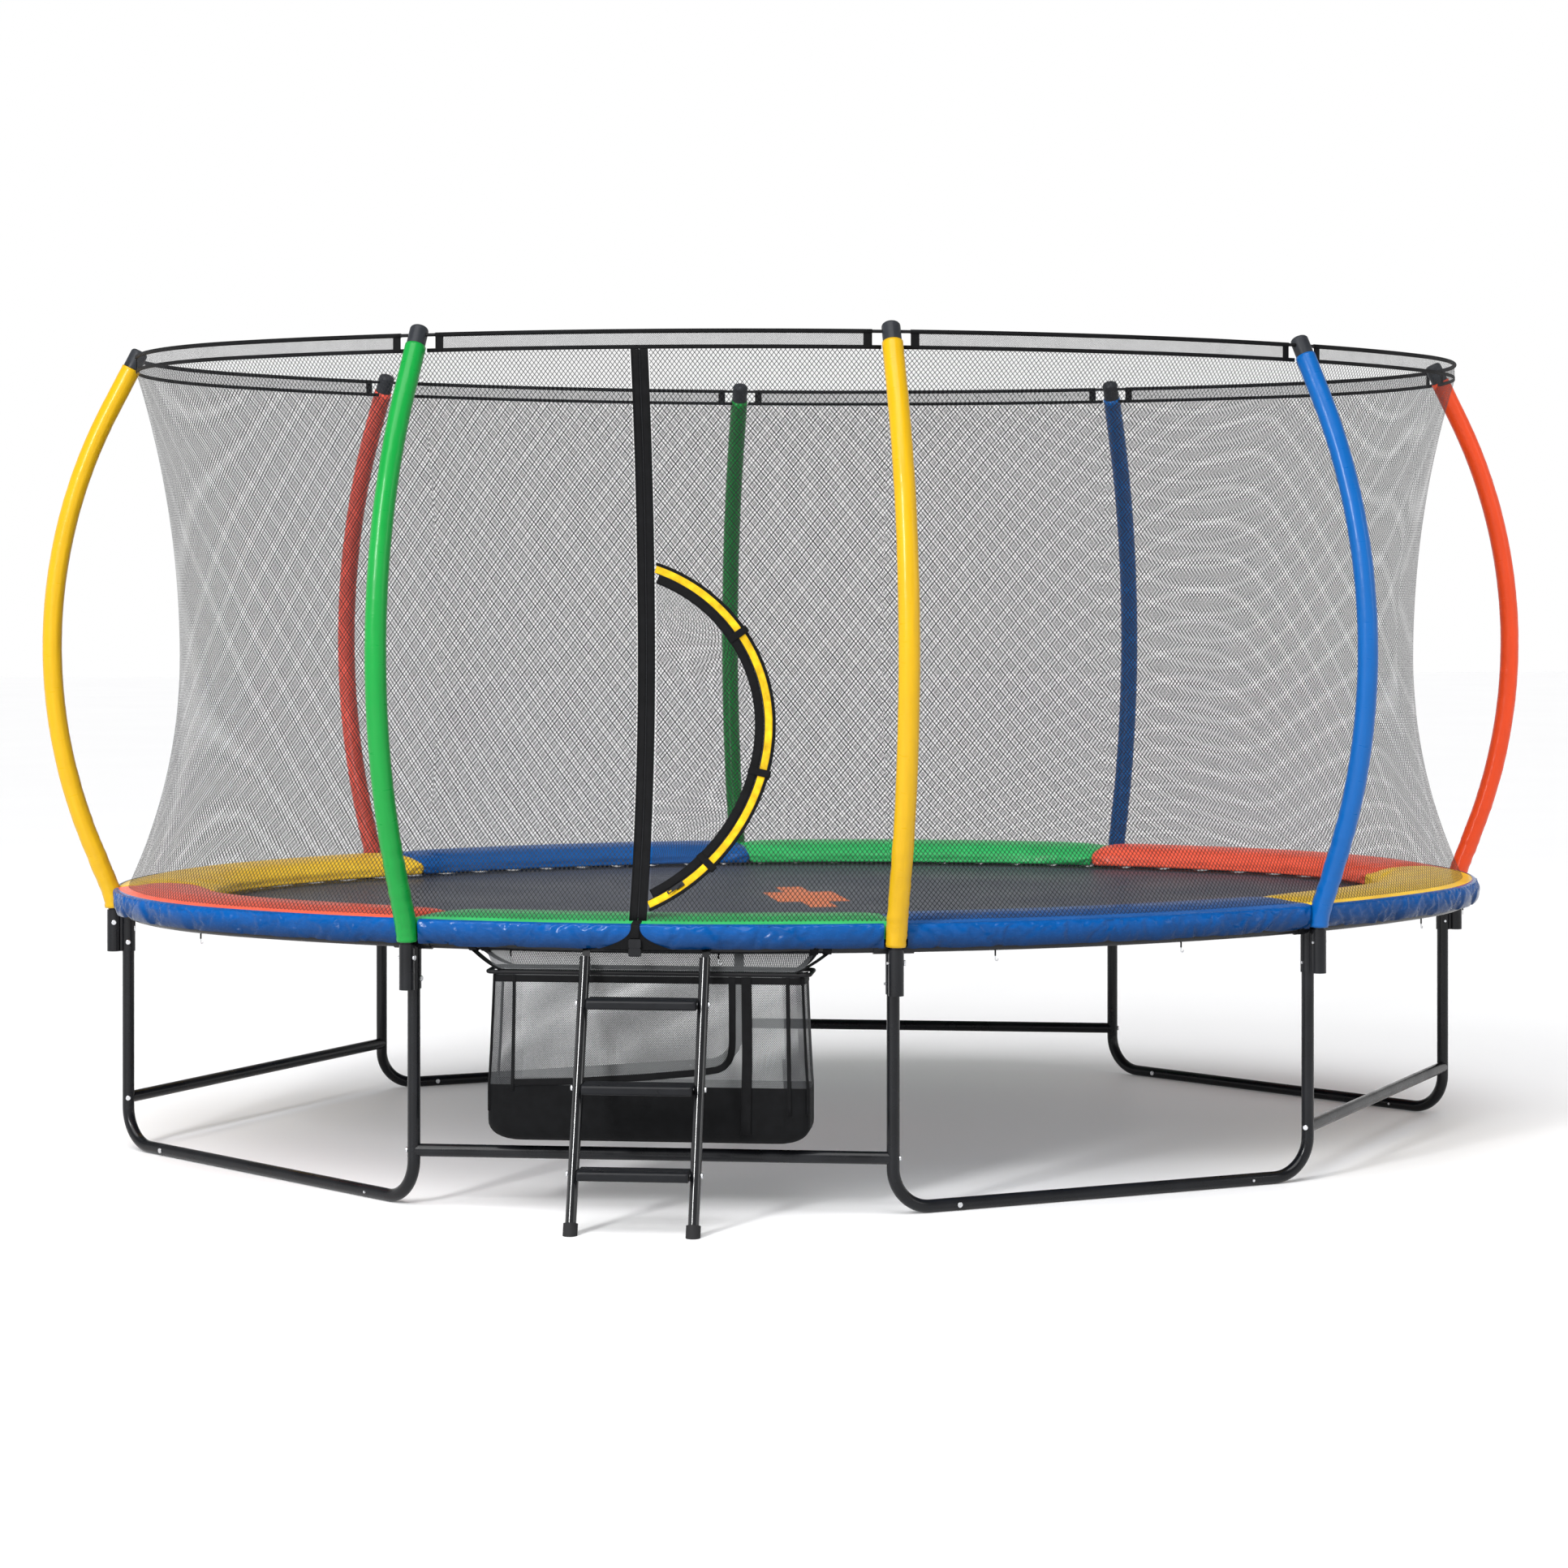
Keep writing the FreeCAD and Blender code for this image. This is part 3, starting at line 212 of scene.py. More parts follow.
def tape_piece(name, line, normals, width, thickness, crown=0.0):
    """A tape or strap: a flat loop with rounded edges carried along its middle line."""
    line = np.asarray(line, float)
    tangents = unit(np.gradient(line, axis=0))
    sides = unit(np.cross(tangents, normals))
    half, t = width / 2, thickness / 2
    across = [-1, -0.9, -0.45, 0, 0.45, 0.9, 1, 0.9, 0.45, 0, -0.45, -0.9]
    rise = [0, 1, 1, 1, 1, 1, 0, -1, -1, -1, -1, -1]
    loops = [[p + s * (half * a) + n * (t * r + crown * (1 - a * a) * (r > 0))
              for a, r in zip(across, rise)]
             for p, n, s in zip(line, np.cross(sides, tangents), sides)]
    return grid_piece(name, loops, loop_v=True, cap=True)


def tube_piece(name, line, radius, sides=16, squeeze=None):
    """A round tube or wire along a line. squeeze gives a radius for each point."""
    line = np.asarray(line, float)
    tangents = unit(np.gradient(line, axis=0))
    normal = np.cross(tangents[0], [0.31, 0.17, 0.93])
    turns = np.linspace(0, 2 * math.pi, sides, endpoint=False)
    rings = []
    for k, (p, t) in enumerate(zip(line, tangents)):
        normal = unit(normal - t * normal.dot(t))
        side = np.cross(t, normal)
        r = radius if squeeze is None else squeeze[k]
        rings.append([p + (normal * math.cos(a) + side * math.sin(a)) * r for a in turns])
    return grid_piece(name, rings, loop_v=True, cap=True)


def joined(name, pieces):
    """Several meshes made into one piece, keeping their UVs and materials."""
    bpy.ops.object.select_all(action="DESELECT")
    for piece in pieces:
        piece.select_set(True)
    bpy.context.view_layer.objects.active = pieces[0]
    bpy.ops.object.join()
    pieces[0].name = name
    pieces[0].data.name = name
    return pieces[0]


def dress(piece, material, body="frame_body", replaces=()):
    """Give a piece its finish, the body that it rides on and the CAD nodes that it stands for."""
    piece.data.materials.clear()
    piece.data.materials.append(material)
    for polygon in piece.data.polygons:
        polygon.material_index = 0
    if body:
        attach(piece, body)
    if replaces:
        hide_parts(*replaces)
    return piece

# %% [markdown]
# ## Finishes
# Every finish is a small tree of nodes around one Principled shader. Most of them need the same
# three things: a coordinate, a pattern, and a bump. The helper below keeps those short, so each
# finish reads as a recipe. Patterns run on the metre UVs of the soft pieces, or on the object's
# own coordinates for the steel and moulded parts, so they are the same size everywhere.

# %% A small bench for node trees
class Finish:
    """A material being built: its nodes are added one by one and wired to its shader."""

    def __init__(self, name, colour, roughness=0.5, **sockets):
        self.material = bpy.data.materials.new(name)
        self.material.use_nodes = True
        self.nodes = self.material.node_tree.nodes
        self.links = self.material.node_tree.links
        self.shader = self.nodes["Principled BSDF"]
        self.base = colour
        self.set("Base Color", (*colour, 1.0))
        self.set("Roughness", roughness)
        for socket, value in sockets.items():
            self.set(socket.replace("_", " "), value)

    def set(self, socket, value):
        self.shader.inputs[socket].default_value = value

    def node(self, kind, inputs=None, **settings):
        node = self.nodes.new(kind)
        for key, value in settings.items():
            setattr(node, key, value)
        for key, value in (inputs or {}).items():
            if isinstance(value, bpy.types.NodeSocket):
                self.links.new(value, node.inputs[key])
            else:
                node.inputs[key].default_value = value
        return node

    def place(self, metres=True):
        """The metre UVs, or the object's own coordinates."""
        if metres:
            return self.node("ShaderNodeUVMap", uv_map="metres").outputs["UV"]
        return self.node("ShaderNodeTexCoord").outputs["Object"]

    def math(self, operation, a, b=0.0, c=0.0):
        return self.node("ShaderNodeMath", {0: a, 1: b, 2: c}, operation=operation).outputs[0]

    def times(self, a, b):
        return self.math("MULTIPLY", a, b)

    def wave(self, along, pitch):
        """A sine that repeats every pitch metres."""
        return self.math("SINE", self.times(along, 2 * math.pi / pitch))

    def off_middle(self, along):
        """How far a place is from the middle of its repeat, from 0 to 0.5."""
        return self.math("ABSOLUTE", self.math("SUBTRACT", self.math("FRACT", along), 0.5))

    def within(self, x, half_x, y, half_y):
        """One inside a box about the middle, and nothing outside it."""
        return self.times(self.math("LESS_THAN", x, half_x), self.math("LESS_THAN", y, half_y))

    def axes(self, vector):
        return self.node("ShaderNodeSeparateXYZ", {0: vector}).outputs

    def noise(self, vector, scale, detail=3.0, roughness=0.5):
        return self.node("ShaderNodeTexNoise", {"Vector": vector, "Scale": scale, "Detail": detail,
                                                "Roughness": roughness}).outputs[0]

    def stretch(self, vector, scale):
        return self.node("ShaderNodeMapping", {"Vector": vector, "Scale": scale}).outputs[0]

    def between(self, value, low, high, start, end):
        """A value's share of the way from low to high, as a value from start to end."""
        inputs = {0: value, 1: low, 2: high, 3: start, 4: end}
        return self.node("ShaderNodeMapRange", inputs).outputs[0]

    def mix(self, factor, a, b):
        node = self.node("ShaderNodeMix", {0: factor}, data_type="RGBA")
        for slot, colour in ((6, a), (7, b)):
            if isinstance(colour, bpy.types.NodeSocket):
                self.links.new(colour, node.inputs[slot])
            else:
                node.inputs[slot].default_value = (*colour, 1.0)
        return node.outputs[2]

    def colour(self, socket):
        self.links.new(socket, self.shader.inputs["Base Color"])

    def shade(self, factor, deep, pale):
        """Move the colour from a deep to a pale share of itself."""
        self.colour(self.mix(factor, tinted(self.base, deep), tinted(self.base, pale)))

    def rough(self, value, start, end, low=0.3, high=0.7):
        """Move the roughness from start to end as a value goes from low to high."""
        spread = self.between(value, low, high, start, end)
        self.links.new(spread, self.shader.inputs["Roughness"])

    def see_through(self, socket):
        self.links.new(socket, self.shader.inputs["Alpha"])

    def bump(self, *layers):
        """Bumps on top of each other: pairs of a height and its depth in metres."""
        below = None
        for height, depth in layers:
            inputs = {"Height": height, "Distance": depth, "Strength": 1.0}
            if below is not None:
                inputs["Normal"] = below
            below = self.node("ShaderNodeBump", inputs).outputs[0]
        self.links.new(below, self.shader.inputs["Normal"])


def tinted(colour, share):
    return tuple(min(1.0, c * share) for c in colour)


# %% [markdown]
# ### Steel, plastic and rubber
# The frame is baked powder paint: near black, glossy, with the faint orange peel that powder
# leaves, and a little dust that dulls it in patches. Bolts and springs are zinc plated, so
# their blue grey moves a little lighter and darker in patches. Caps and buckles are moulded plastic
# with a fine spark-eroded grain, and the ladder's boots are matt rubber.

# %% Hard finishes
def powder_paint(name, colour=(0.006, 0.0065, 0.008), coat=0.16, grain=0.00006):
    f = Finish(name, colour, 0.24, Coat_Weight=coat, Coat_Roughness=0.06, Specular_IOR_Level=0.16)
    where = f.place(metres=False)
    dust = f.noise(where, 9.0, 4.0)
    f.shade(f.between(dust, 0.35, 0.75, 0.0, 1.0), 0.75, 1.5)
    f.rough(dust, 0.2, 0.38, 0.3, 0.75)
    f.bump((f.noise(where, 900.0, 2.0), grain), (f.noise(where, 60.0, 2.0), grain / 3))
    return f.material


def zinc_plate(name, colour=(0.62, 0.63, 0.65)):
    f = Finish(name, colour, 0.3, Metallic=1.0)
    where = f.place(metres=False)
    f.shade(f.noise(where, 35.0, 4.0), 0.85, 1.15)
    f.rough(f.noise(where, 220.0, 3.0), 0.2, 0.44)
    f.bump((f.noise(where, 1400.0, 2.0), 0.00004))
    return f.material


def moulded(name, colour, roughness=0.42, grain=1800.0):
    f = Finish(name, colour, roughness, Specular_IOR_Level=0.16)
    where = f.place(metres=False)
    cloud = f.noise(where, 25.0, 3.0)
    f.shade(cloud, 0.7, 1.5)
    f.rough(cloud, roughness - 0.08, roughness + 0.12)
    f.bump((f.noise(where, grain, 2.0), 0.00008))
    return f.material


paint = powder_paint("powder_paint_black")
ladder_paint = powder_paint("powder_paint_ladder", (0.004, 0.0045, 0.0055), 0.90, 0.00001)
zinc = zinc_plate("zinc_plate")
spring_wire = zinc_plate("spring_wire", (0.6, 0.6, 0.6))
cap_plastic = moulded("cap_plastic", (0.020, 0.022, 0.026), 0.38)
buckle_plastic = moulded("buckle_plastic", (0.008, 0.0085, 0.010), 0.42)
rod_plastic = moulded("rod_plastic", (0.006, 0.006, 0.007), 0.5)
tread_plastic = moulded("tread_plastic", (0.007, 0.0075, 0.009), 0.34, 1500.0)
# painted shade: the V-rings' zinc is made far darker than plating, standing for the shade they sit
# in under the pads
shaded_ring_zinc = zinc_plate("zinc_rings_painted_shade", (0.12, 0.12, 0.13))
boot_rubber = moulded("boot_rubber", (0.016, 0.016, 0.017), 0.72, 700.0)

# %% [markdown]
# ### Vinyl
# Pads, skirt and pole sleeves are coated cloth. The plastic coat is glossy, but it crumples
# finely when it is folded round foam, and that crumple is what catches the light. Three bumps
# do it: a soft buckle a hand wide, a crumple a finger wide, and the print of the weave under
# the coat. The colour is a little deeper in the buckles and paler where it is rubbed. The skirt
# also has painted shade: its colour is much darker towards its foot, where it rolls under, and full
# at its top, as if lit from above.

# %% Vinyl finishes
def vinyl(name, colour, gloss=0.34, coat=0.10, painted_foot_shade=None):
    """Coated cloth. The last argument gives two heights for painted shade: dark at the first, full
    colour at the second.
    """
    f = Finish(name, colour, gloss, Coat_Weight=coat, Coat_Roughness=0.10, Specular_IOR_Level=0.12)
    where = f.place()
    buckle = f.noise(f.stretch(where, (1.0, 2.2, 1.0)), 7.0, 3.0, 0.6)
    crease = f.noise(f.stretch(where, (1.0, 1.7, 1.0)), 42.0, 4.0, 0.65)
    weave = f.node("ShaderNodeTexWave", {"Vector": where, "Scale": 320.0},
                   bands_direction="DIAGONAL").outputs[1]
    tone = f.between(f.math("ADD", buckle, f.times(crease, 0.5)), 0.45, 1.05, 0.0, 1.0)
    deep, pale = 0.78, 1.16
    # painted shade: the colour falls from full at the upper height to dark at the lower, as if the
    # top were lit and the foot shaded
    if painted_foot_shade:
        lit_share = f.between(f.axes(f.place(metres=False))[2], *painted_foot_shade, 0.0, 1.0)
        tone = f.times(lit_share, f.math("ADD", 0.5, f.times(tone, 0.5)))
        deep, pale = 0.30, 1.45
    f.shade(tone, deep, pale)
    f.rough(crease, gloss - 0.08, gloss + 0.14)
    f.bump((buckle, 0.006), (crease, 0.0007), (weave, 0.00002))
    return f.material


def foam_vinyl(name, colour):
    """The sleeve's skin: tighter than the pads, with faint rings where it bends."""
    f = Finish(name, colour, 0.3, Coat_Weight=0.10, Coat_Roughness=0.12, Specular_IOR_Level=0.22)
    where = f.place()
    run = f.noise(f.stretch(where, (1.0, 6.0, 1.0)), 6.0, 3.0)
    rings = f.noise(f.stretch(where, (5.0, 0.6, 1.0)), 22.0, 3.0, 0.6)
    f.shade(run, 0.86, 1.1)
    f.rough(rings, 0.26, 0.42)
    f.bump((run, 0.002), (rings, 0.0007))
    return f.material


SLEEVE_COLOURS = {"yellow": (0.56, 0.325, 0.003), "green": (0.003, 0.24, 0.035),
                  "blue": (0.0003, 0.095, 0.345), "orange": (0.70, 0.060, 0.010),
                  "red": (0.86, 0.105, 0.065)}
PAD_COLOURS = {"red": (0.88, 0.11, 0.055), "green": (0.03, 0.45, 0.12),
               "blue": (0.002, 0.085, 0.32), "yellow": (0.98, 0.56, 0.030)}
sleeve_skin = {hue: foam_vinyl("sleeve_vinyl_" + hue, c) for hue, c in SLEEVE_COLOURS.items()}
pad_skin = {hue: vinyl("pad_vinyl_" + hue, c) for hue, c in PAD_COLOURS.items()}
# the skirt's last two heights paint shade on it, darker towards its foot
skirt_skin = vinyl("skirt_vinyl_blue", (0.0001, 0.060, 0.235), 0.22, 0.12, (0.784, 0.846))

# %% [markdown]
# ### Net, mat and webbing
# The net is a black diamond knit. Modelling each thread would take millions of faces, so the
# holes are in the alpha: two families of slanting lines cross in the metre UVs, and only the
# threads are solid. Its share of solid area is what makes the net look grey against white. The
# mat is a close plain weave with a sheen. Webbing has ribs across it and a stitched line near
# each edge.

# %% Woven finishes
KNIT_SLANT = 0.8


def knit(name, colour, pitch, thread, dim=0.0):
    """A diamond knit: pitch in metres, thread as a share of it, dim for the fuzz in the holes."""
    f = Finish(name, colour, 0.66, Specular_IOR_Level=0.12)
    u, v = f.axes(f.place())[0:2]
    lines = []
    for slant in ("ADD", "SUBTRACT"):
        across = f.math("DIVIDE", f.math(slant, u, f.times(v, KNIT_SLANT)), pitch)
        lines.append(f.off_middle(across))
    nearest = f.math("MINIMUM", *lines)
    slack = f.between(f.noise(f.place(), 18.0, 2.0), 0.3, 0.7, 0.94, 1.06)
    solid = f.math("LESS_THAN", nearest, f.times(slack, thread / 2))
    f.see_through(f.math("MAXIMUM", solid, dim))
    f.rough(nearest, 0.5, 0.75, 0.0, thread / 2)
    f.bump((f.math("SUBTRACT", 0.5, nearest), 0.0001))
    return f.material


STITCH_PITCH = 0.006


def webbing(name, colour, width, rib=0.0022):
    """Ribbed tape: ribs across it, and a row of stitches inside each edge."""
    f = Finish(name, colour, 0.62, Sheen_Weight=0.02, Sheen_Roughness=0.4, Specular_IOR_Level=0.10)
    u, v = f.axes(f.place())[0:2]
    weave = f.times(f.wave(u, rib), f.wave(v, rib * 1.3))
    row = f.math("COMPARE", f.off_middle(f.math("DIVIDE", v, width)), 0.36, 0.03)
    stitch = f.times(row, f.math("GREATER_THAN", f.wave(u, STITCH_PITCH), -0.3))
    wear = f.noise(f.place(), 30.0, 4.0)
    f.shade(f.between(wear, 0.3, 0.75, 0.0, 1.0), 0.7, 1.5)
    f.bump((weave, 0.00022), (stitch, 0.0005))
    return f.material


def mat_weave(name, colour, mark):
    """The jumping mat: a close weave, and a plain cross printed at the middle."""
    f = Finish(name, colour, 0.40, Sheen_Weight=0.12, Sheen_Roughness=0.3, Specular_IOR_Level=0.4)
    x, y = f.axes(f.place(metres=False))[0:2]
    weave = f.times(f.wave(x, 0.004), f.wave(y, 0.004))
    cloud = f.noise(f.place(metres=False), 2.2, 5.0)
    far_x, far_y = f.math("ABSOLUTE", x), f.math("ABSOLUTE", y)
    bars = f.within(far_x, 0.12, far_y, 0.18), f.within(far_x, 0.045, far_y, 0.38)
    cross = f.math("MAXIMUM", *bars)
    worn = f.between(f.noise(f.place(metres=False), 60.0, 3.0), 0.35, 0.6, 0.75, 1.0)
    cloth = f.mix(cloud, tinted(colour, 0.8), tinted(colour, 1.25))
    f.colour(f.mix(f.times(cross, worn), cloth, mark))
    f.rough(cloud, 0.38, 0.54)
    f.bump((weave, 0.00008), (cloud, 0.0008))
    return f.material


net_knit = knit("net_knit_black", (0.016, 0.017, 0.019), 0.0135, 0.168, 0.07)
band_knit = knit("band_knit_black", (0.022, 0.023, 0.026), 0.004, 0.26)
bag_knit = knit("bag_knit_grey", (0.165, 0.17, 0.173), 0.0055, 0.33, 0.03)
end_knit = knit("bag_knit_ends", (0.055, 0.057, 0.060), 0.0055, 0.32, 0.12)
flap_knit = knit("bag_knit_flap", (0.06, 0.063, 0.066), 0.0055, 0.50, 0.16)
mat_cloth = mat_weave("mat_weave_dark", (0.022, 0.029, 0.052), (0.82, 0.17, 0.02))
black_tape = webbing("webbing_black", (0.0035, 0.0036, 0.0042), 0.028)
wide_tape = webbing("webbing_wide", (0.004, 0.004, 0.0045), 0.045)
yellow_tape = webbing("webbing_yellow", (0.64, 0.40, 0.010), 0.022)
bag_cloth = webbing("bag_cloth_black", (0.003, 0.0032, 0.0038), 0.4, 0.0014)
print("finishes made:", len(bpy.data.materials))

# %% [markdown]
# ## The steel and the moulded parts
# The tubes, brackets, caps, bolts and boots have their real shape already, so they stay as they
# are and only get their finish. A loop over the nodes is enough, because each finish reads the
# object's own coordinates and needs no UVs.

# %% Paint the hard nodes
hard_finish = {"base_tubes": paint, "stretcher_bars": paint, "enclosure_poles": paint,
               "pole_brackets": paint, "frame_bolts": zinc, "pole_caps": cap_plastic,
               "ring_rods": rod_plastic, "ladder_rails": ladder_paint,
               "ladder_hooks": ladder_paint, "ladder_feet": boot_rubber, "ladder_bolts": zinc,
               "buckle_body": buckle_plastic, "buckle_clip": buckle_plastic,
               "zip_slider": buckle_plastic, "zip_pull": buckle_plastic,
               "v_rings": shaded_ring_zinc, "bag_rim": rod_plastic}
for number in range(1, 9):
    hard_finish["top_rail_%d" % number] = paint
    hard_finish["leg_%d" % number] = paint
for node, finish in hard_finish.items():
    for holder in frame["nodes"][node].material_slots:
        holder.material = finish
print("hard nodes painted:", len(hard_finish))

# %% [markdown]
# ## Foam sleeves on the poles
# Each bowed pole wears a tube of foam in bright vinyl. The sleeve follows the pole's line, which
# is a short bend out of the bracket, a straight, a long bow back in and a straight up to the cap.
# A round tube would look like paint on a pipe, so the radius moves a little: the skin wraps over
# itself in a seam along one side, it creases where the foam is squeezed inside a bend, and its
# lower end is turned under in a hem.

# %% The pole's line
POLE_FOOT = (0.0454, 0.787)
POLE_STEPS = [(0.160, 22.0), (0.167,), (1.700, -27.0), (0.149,)]
SLEEVE_RADIUS = 0.031


def walk(x, z, lean, steps, step=0.008):
    """Points (x, z) of a path of straights (length,) and bends (radius, new lean)."""
    points = [np.array([x, z])]
    for part in steps:
        a = math.radians(lean)
        p = points[-1]
        if len(part) == 1:
            count = max(1, int(part[0] / step))
            for k in range(1, count + 1):
                points.append(p + np.array([math.sin(a), math.cos(a)]) * part[0] * k / count)
            continue
        radius, lean = part
        b = math.radians(lean)
        side = 1 if b > a else -1
        centre = p + np.array([math.cos(a), -math.sin(a)]) * side * radius
        count = max(2, int(abs(b - a) * radius / step))
        for t in np.linspace(a, b, count + 1)[1:]:
            points.append(centre - np.array([math.cos(t), -math.sin(t)]) * side * radius)
    return np.array(points)


pole_line = walk(*POLE_FOOT, 0.0, POLE_STEPS)
print("pole line: %d points, top at %.3f m" % (len(pole_line), pole_line[-1, 1]))

# %% One sleeve for each pole, gathered by colour
SEAM_TURN, SEAM_WIDTH, HEM_UP = math.radians(118), 0.11, 0.016
SOCKET_ROOM = 0.0236


def foam_sleeve(name, number):
    """One pole's sleeve, with its seam, hem and creases, pressed out round the rail's socket."""
    angle = LEG_ANGLES[number - 1]
    out, along = facing(angle)
    base = station(angle)
    line = np.array([base + out * x + np.array([0, 0, z]) for x, z in pole_line])
    run = run_of(line)
    turns = np.linspace(0, 2 * math.pi, 40, endpoint=False)
    from_seam = np.arctan2(np.sin(turns - SEAM_TURN), np.cos(turns - SEAM_TURN))
    seam = np.exp(-(from_seam / SEAM_WIDTH) ** 2)
    hem = np.exp(-((run - HEM_UP) / 0.004) ** 2)
    rings = []
    for p, t, h in zip(line, unit(np.gradient(line, axis=0)), hem):
        inner = np.cross(along, t)
        rings.append([p + (inner * math.cos(a) + along * math.sin(a))
                      * (SLEEVE_RADIUS + 0.0009 * s - 0.0012 * h) for a, s in zip(turns, seam)])
    rings = np.array(rings)
    flat = rings.reshape(-1, 3)
    low = np.repeat(np.clip(1 - run / 0.55, 0, 1), len(turns))
    crease = wavy(flat * [1, 1, 2.4], 0.045) * (0.0004 + 0.0014 * low)
    centre = np.repeat(line, len(turns), axis=0)
    rings = (flat + unit(flat - centre) * crease[:, None]).reshape(rings.shape)
    first, lip = (line[0] + (rings[0] - line[0]) * share for share in (0.66, 0.93))
    rings[0] = lip
    rings = np.concatenate([[first], rings])
    flat = rings.reshape(-1, 3)
    reach, lift = (flat - base) @ out, flat[:, 2] - RAIL_HEIGHT
    pressed = np.maximum(SOCKET_ROOM / np.maximum(np.hypot(reach, lift), 1e-4) - 1, 0)
    pressed *= np.abs((flat - base) @ along) < 0.05
    flat = flat + np.outer(reach * pressed, out) + np.outer(lift * pressed, [0, 0, 1.0])
    return grid_piece(name, flat.reshape(rings.shape), loop_v=True, cap=True)


sleeve_poles = {"sleeves_yellow": (1, 3), "sleeves_green": (2, 7), "sleeves_blue": (4, 6),
                "sleeve_orange": (5,), "sleeve_red": (8,)}
for node, poles in sleeve_poles.items():
    colour = node.split("_")[1]
    sleeve = joined("foam_" + node, [foam_sleeve("sleeve_%d" % n, n) for n in poles])
    dress(sleeve, sleeve_skin[colour], replaces=[node])
    print(sleeve.name, len(sleeve.data.vertices), "points")

# %% [markdown]
# ## The net
# The net is one cloth waisted like an hourglass: sewn to a band at the top, pulled in at half
# height by its own tension and tied down at the pads. Its upright line is two arcs that meet,
# upright, at the waist. The panels are single sheets, because the knit's holes are in the
# finish and a second skin would double its grey. A few millimetres of slow ripple keep the
# reflections from looking drawn.

# %% The net's upright line
NET_FOOT = (0.0, 0.85864)
NET_WAIST = (-0.165, 1.600)
NET_HEAD = (-0.02679, 2.5247)
RING_OUT, RING_UP = -0.02679, 2.5770


def net_out(height):
    """How far out from the rail's line the net stands at a height, negative inside."""
    end = NET_FOOT if height < NET_WAIST[1] else NET_HEAD
    dx, dz = end[0] - NET_WAIST[0], end[1] - NET_WAIST[1]
    radius = (dx * dx + dz * dz) / (2 * dx)
    return NET_WAIST[0] + radius - math.sqrt(radius ** 2 - (height - NET_WAIST[1]) ** 2)


def net_lean(height):
    """The slope of the net's upright line, metres out for each metre up."""
    return (net_out(height + 0.002) - net_out(height - 0.002)) / 0.004


net_rows = np.linspace(NET_FOOT[1], NET_HEAD[1], 56)
NET_COLUMNS = 44


def ripple(points, outward, loose):
    return points + outward * (wavy(points * [1, 1, 0.5], 0.55) * 0.003 * loose)[:, None]


def net_sheet(name, start, end):
    """A sheet of net between two directions, still at its edges and rippled inside them."""
    angles = np.linspace(start, end, NET_COLUMNS)
    outward = np.array([facing(t)[0] for t in angles])
    loose = np.sin(np.linspace(0, math.pi, NET_COLUMNS))
    rows = []
    for k, z in enumerate(net_rows):
        row = np.array([station(t, net_out(z), z) for t in angles])
        rows.append(ripple(row, outward, loose * math.sin(math.pi * k / (len(net_rows) - 1))))
    return rows_piece(name, rows)


for bay in (1, 3, 4, 5, 6, 7, 8):
    a, b = LEG_ANGLES[bay - 1], LEG_ANGLES[bay]
    panel = net_sheet("net_panel_%d" % bay, a, b)
    dress(panel, net_knit, replaces=["net_panels"])
print("net panels made, each %.2f m tall" % (NET_HEAD[1] - NET_FOOT[1]))

# %% [markdown]
# ## The band round the top
# A stiff rod ring runs through the caps. The net hangs from a sleeve sewn round it: a black
# tunnel at the top, a strip of finer mesh, and a black hem where the net starts. Beside each
# cap the strip is left out, so there is a clear window framed by upright webbing.

# %% Tunnel, mesh strip, hem and window frames
BAND_TOP, BAND_FOOT = RING_UP, 2.5250
WINDOW, CAP_GAP, FRAME_WIDTH = 0.058, 0.030, 0.026


def shifted(angle, metres):
    """The direction that lies so many metres on along the rail."""
    return angle + math.degrees(metres / arc_at(angle + math.copysign(0.1, metres))[1])


def bay_span(bay, gap):
    """The directions of a bay's two ends, each so many metres inside its pole."""
    return shifted(LEG_ANGLES[bay - 1], gap), shifted(LEG_ANGLES[bay], -gap)


def level_line(start, end, out, up):
    return [station(a, out, up) for a in directions(start, end, 0.03)[0]]


tunnels, strips, hems, uprights = [], [], [], []
for bay in range(1, 9):
    a, b = bay_span(bay, WINDOW)
    tunnels.append(tube_piece("tunnel", level_line(a, b, RING_OUT, RING_UP), 0.0067, 12))
    ends = bay_span(bay, CAP_GAP)
    hem = level_line(*ends, RING_OUT, BAND_FOOT + 0.006)
    normals = [facing(t)[0] for t in directions(*ends, 0.03)[0]]
    hems.append(tape_piece("hem", hem, normals, 0.012, 0.0026))
    rows = [level_line(a, b, RING_OUT + 0.0008 * math.sin(6 * z), z)
            for z in np.linspace(BAND_FOOT + 0.004, BAND_TOP - 0.005, 5)]
    strips.append(rows_piece("strip", rows))
    for edge, sign in ((a, 1), (b, -1)):
        t = shifted(edge, sign * FRAME_WIDTH / 2)
        upright = [station(t, RING_OUT + 0.0012, z) for z in np.linspace(BAND_FOOT, BAND_TOP, 6)]
        normals = np.tile(facing(t)[0], (6, 1))
        uprights.append(tape_piece("upright", upright, normals, FRAME_WIDTH, 0.003))
band = dress(joined("band_webbing", tunnels + hems + uprights), black_tape)
strip = dress(joined("band_mesh", strips), band_knit, replaces=["net_top_band"])
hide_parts("net_top_band")
print("band:", len(band.data.polygons), "faces of webbing")

# %% [markdown]
# ## The door bay
# The net between the second and third poles has the door. An upright strip of two webbings runs
# from band to pad. Off it springs a D: a yellow tape with a black edge on the net's side, a
# zip, and a black tape on the flap's side. The D is measured across the net from the middle of
# the strip, so one helper turns "this far across, this high" into a point on the net.

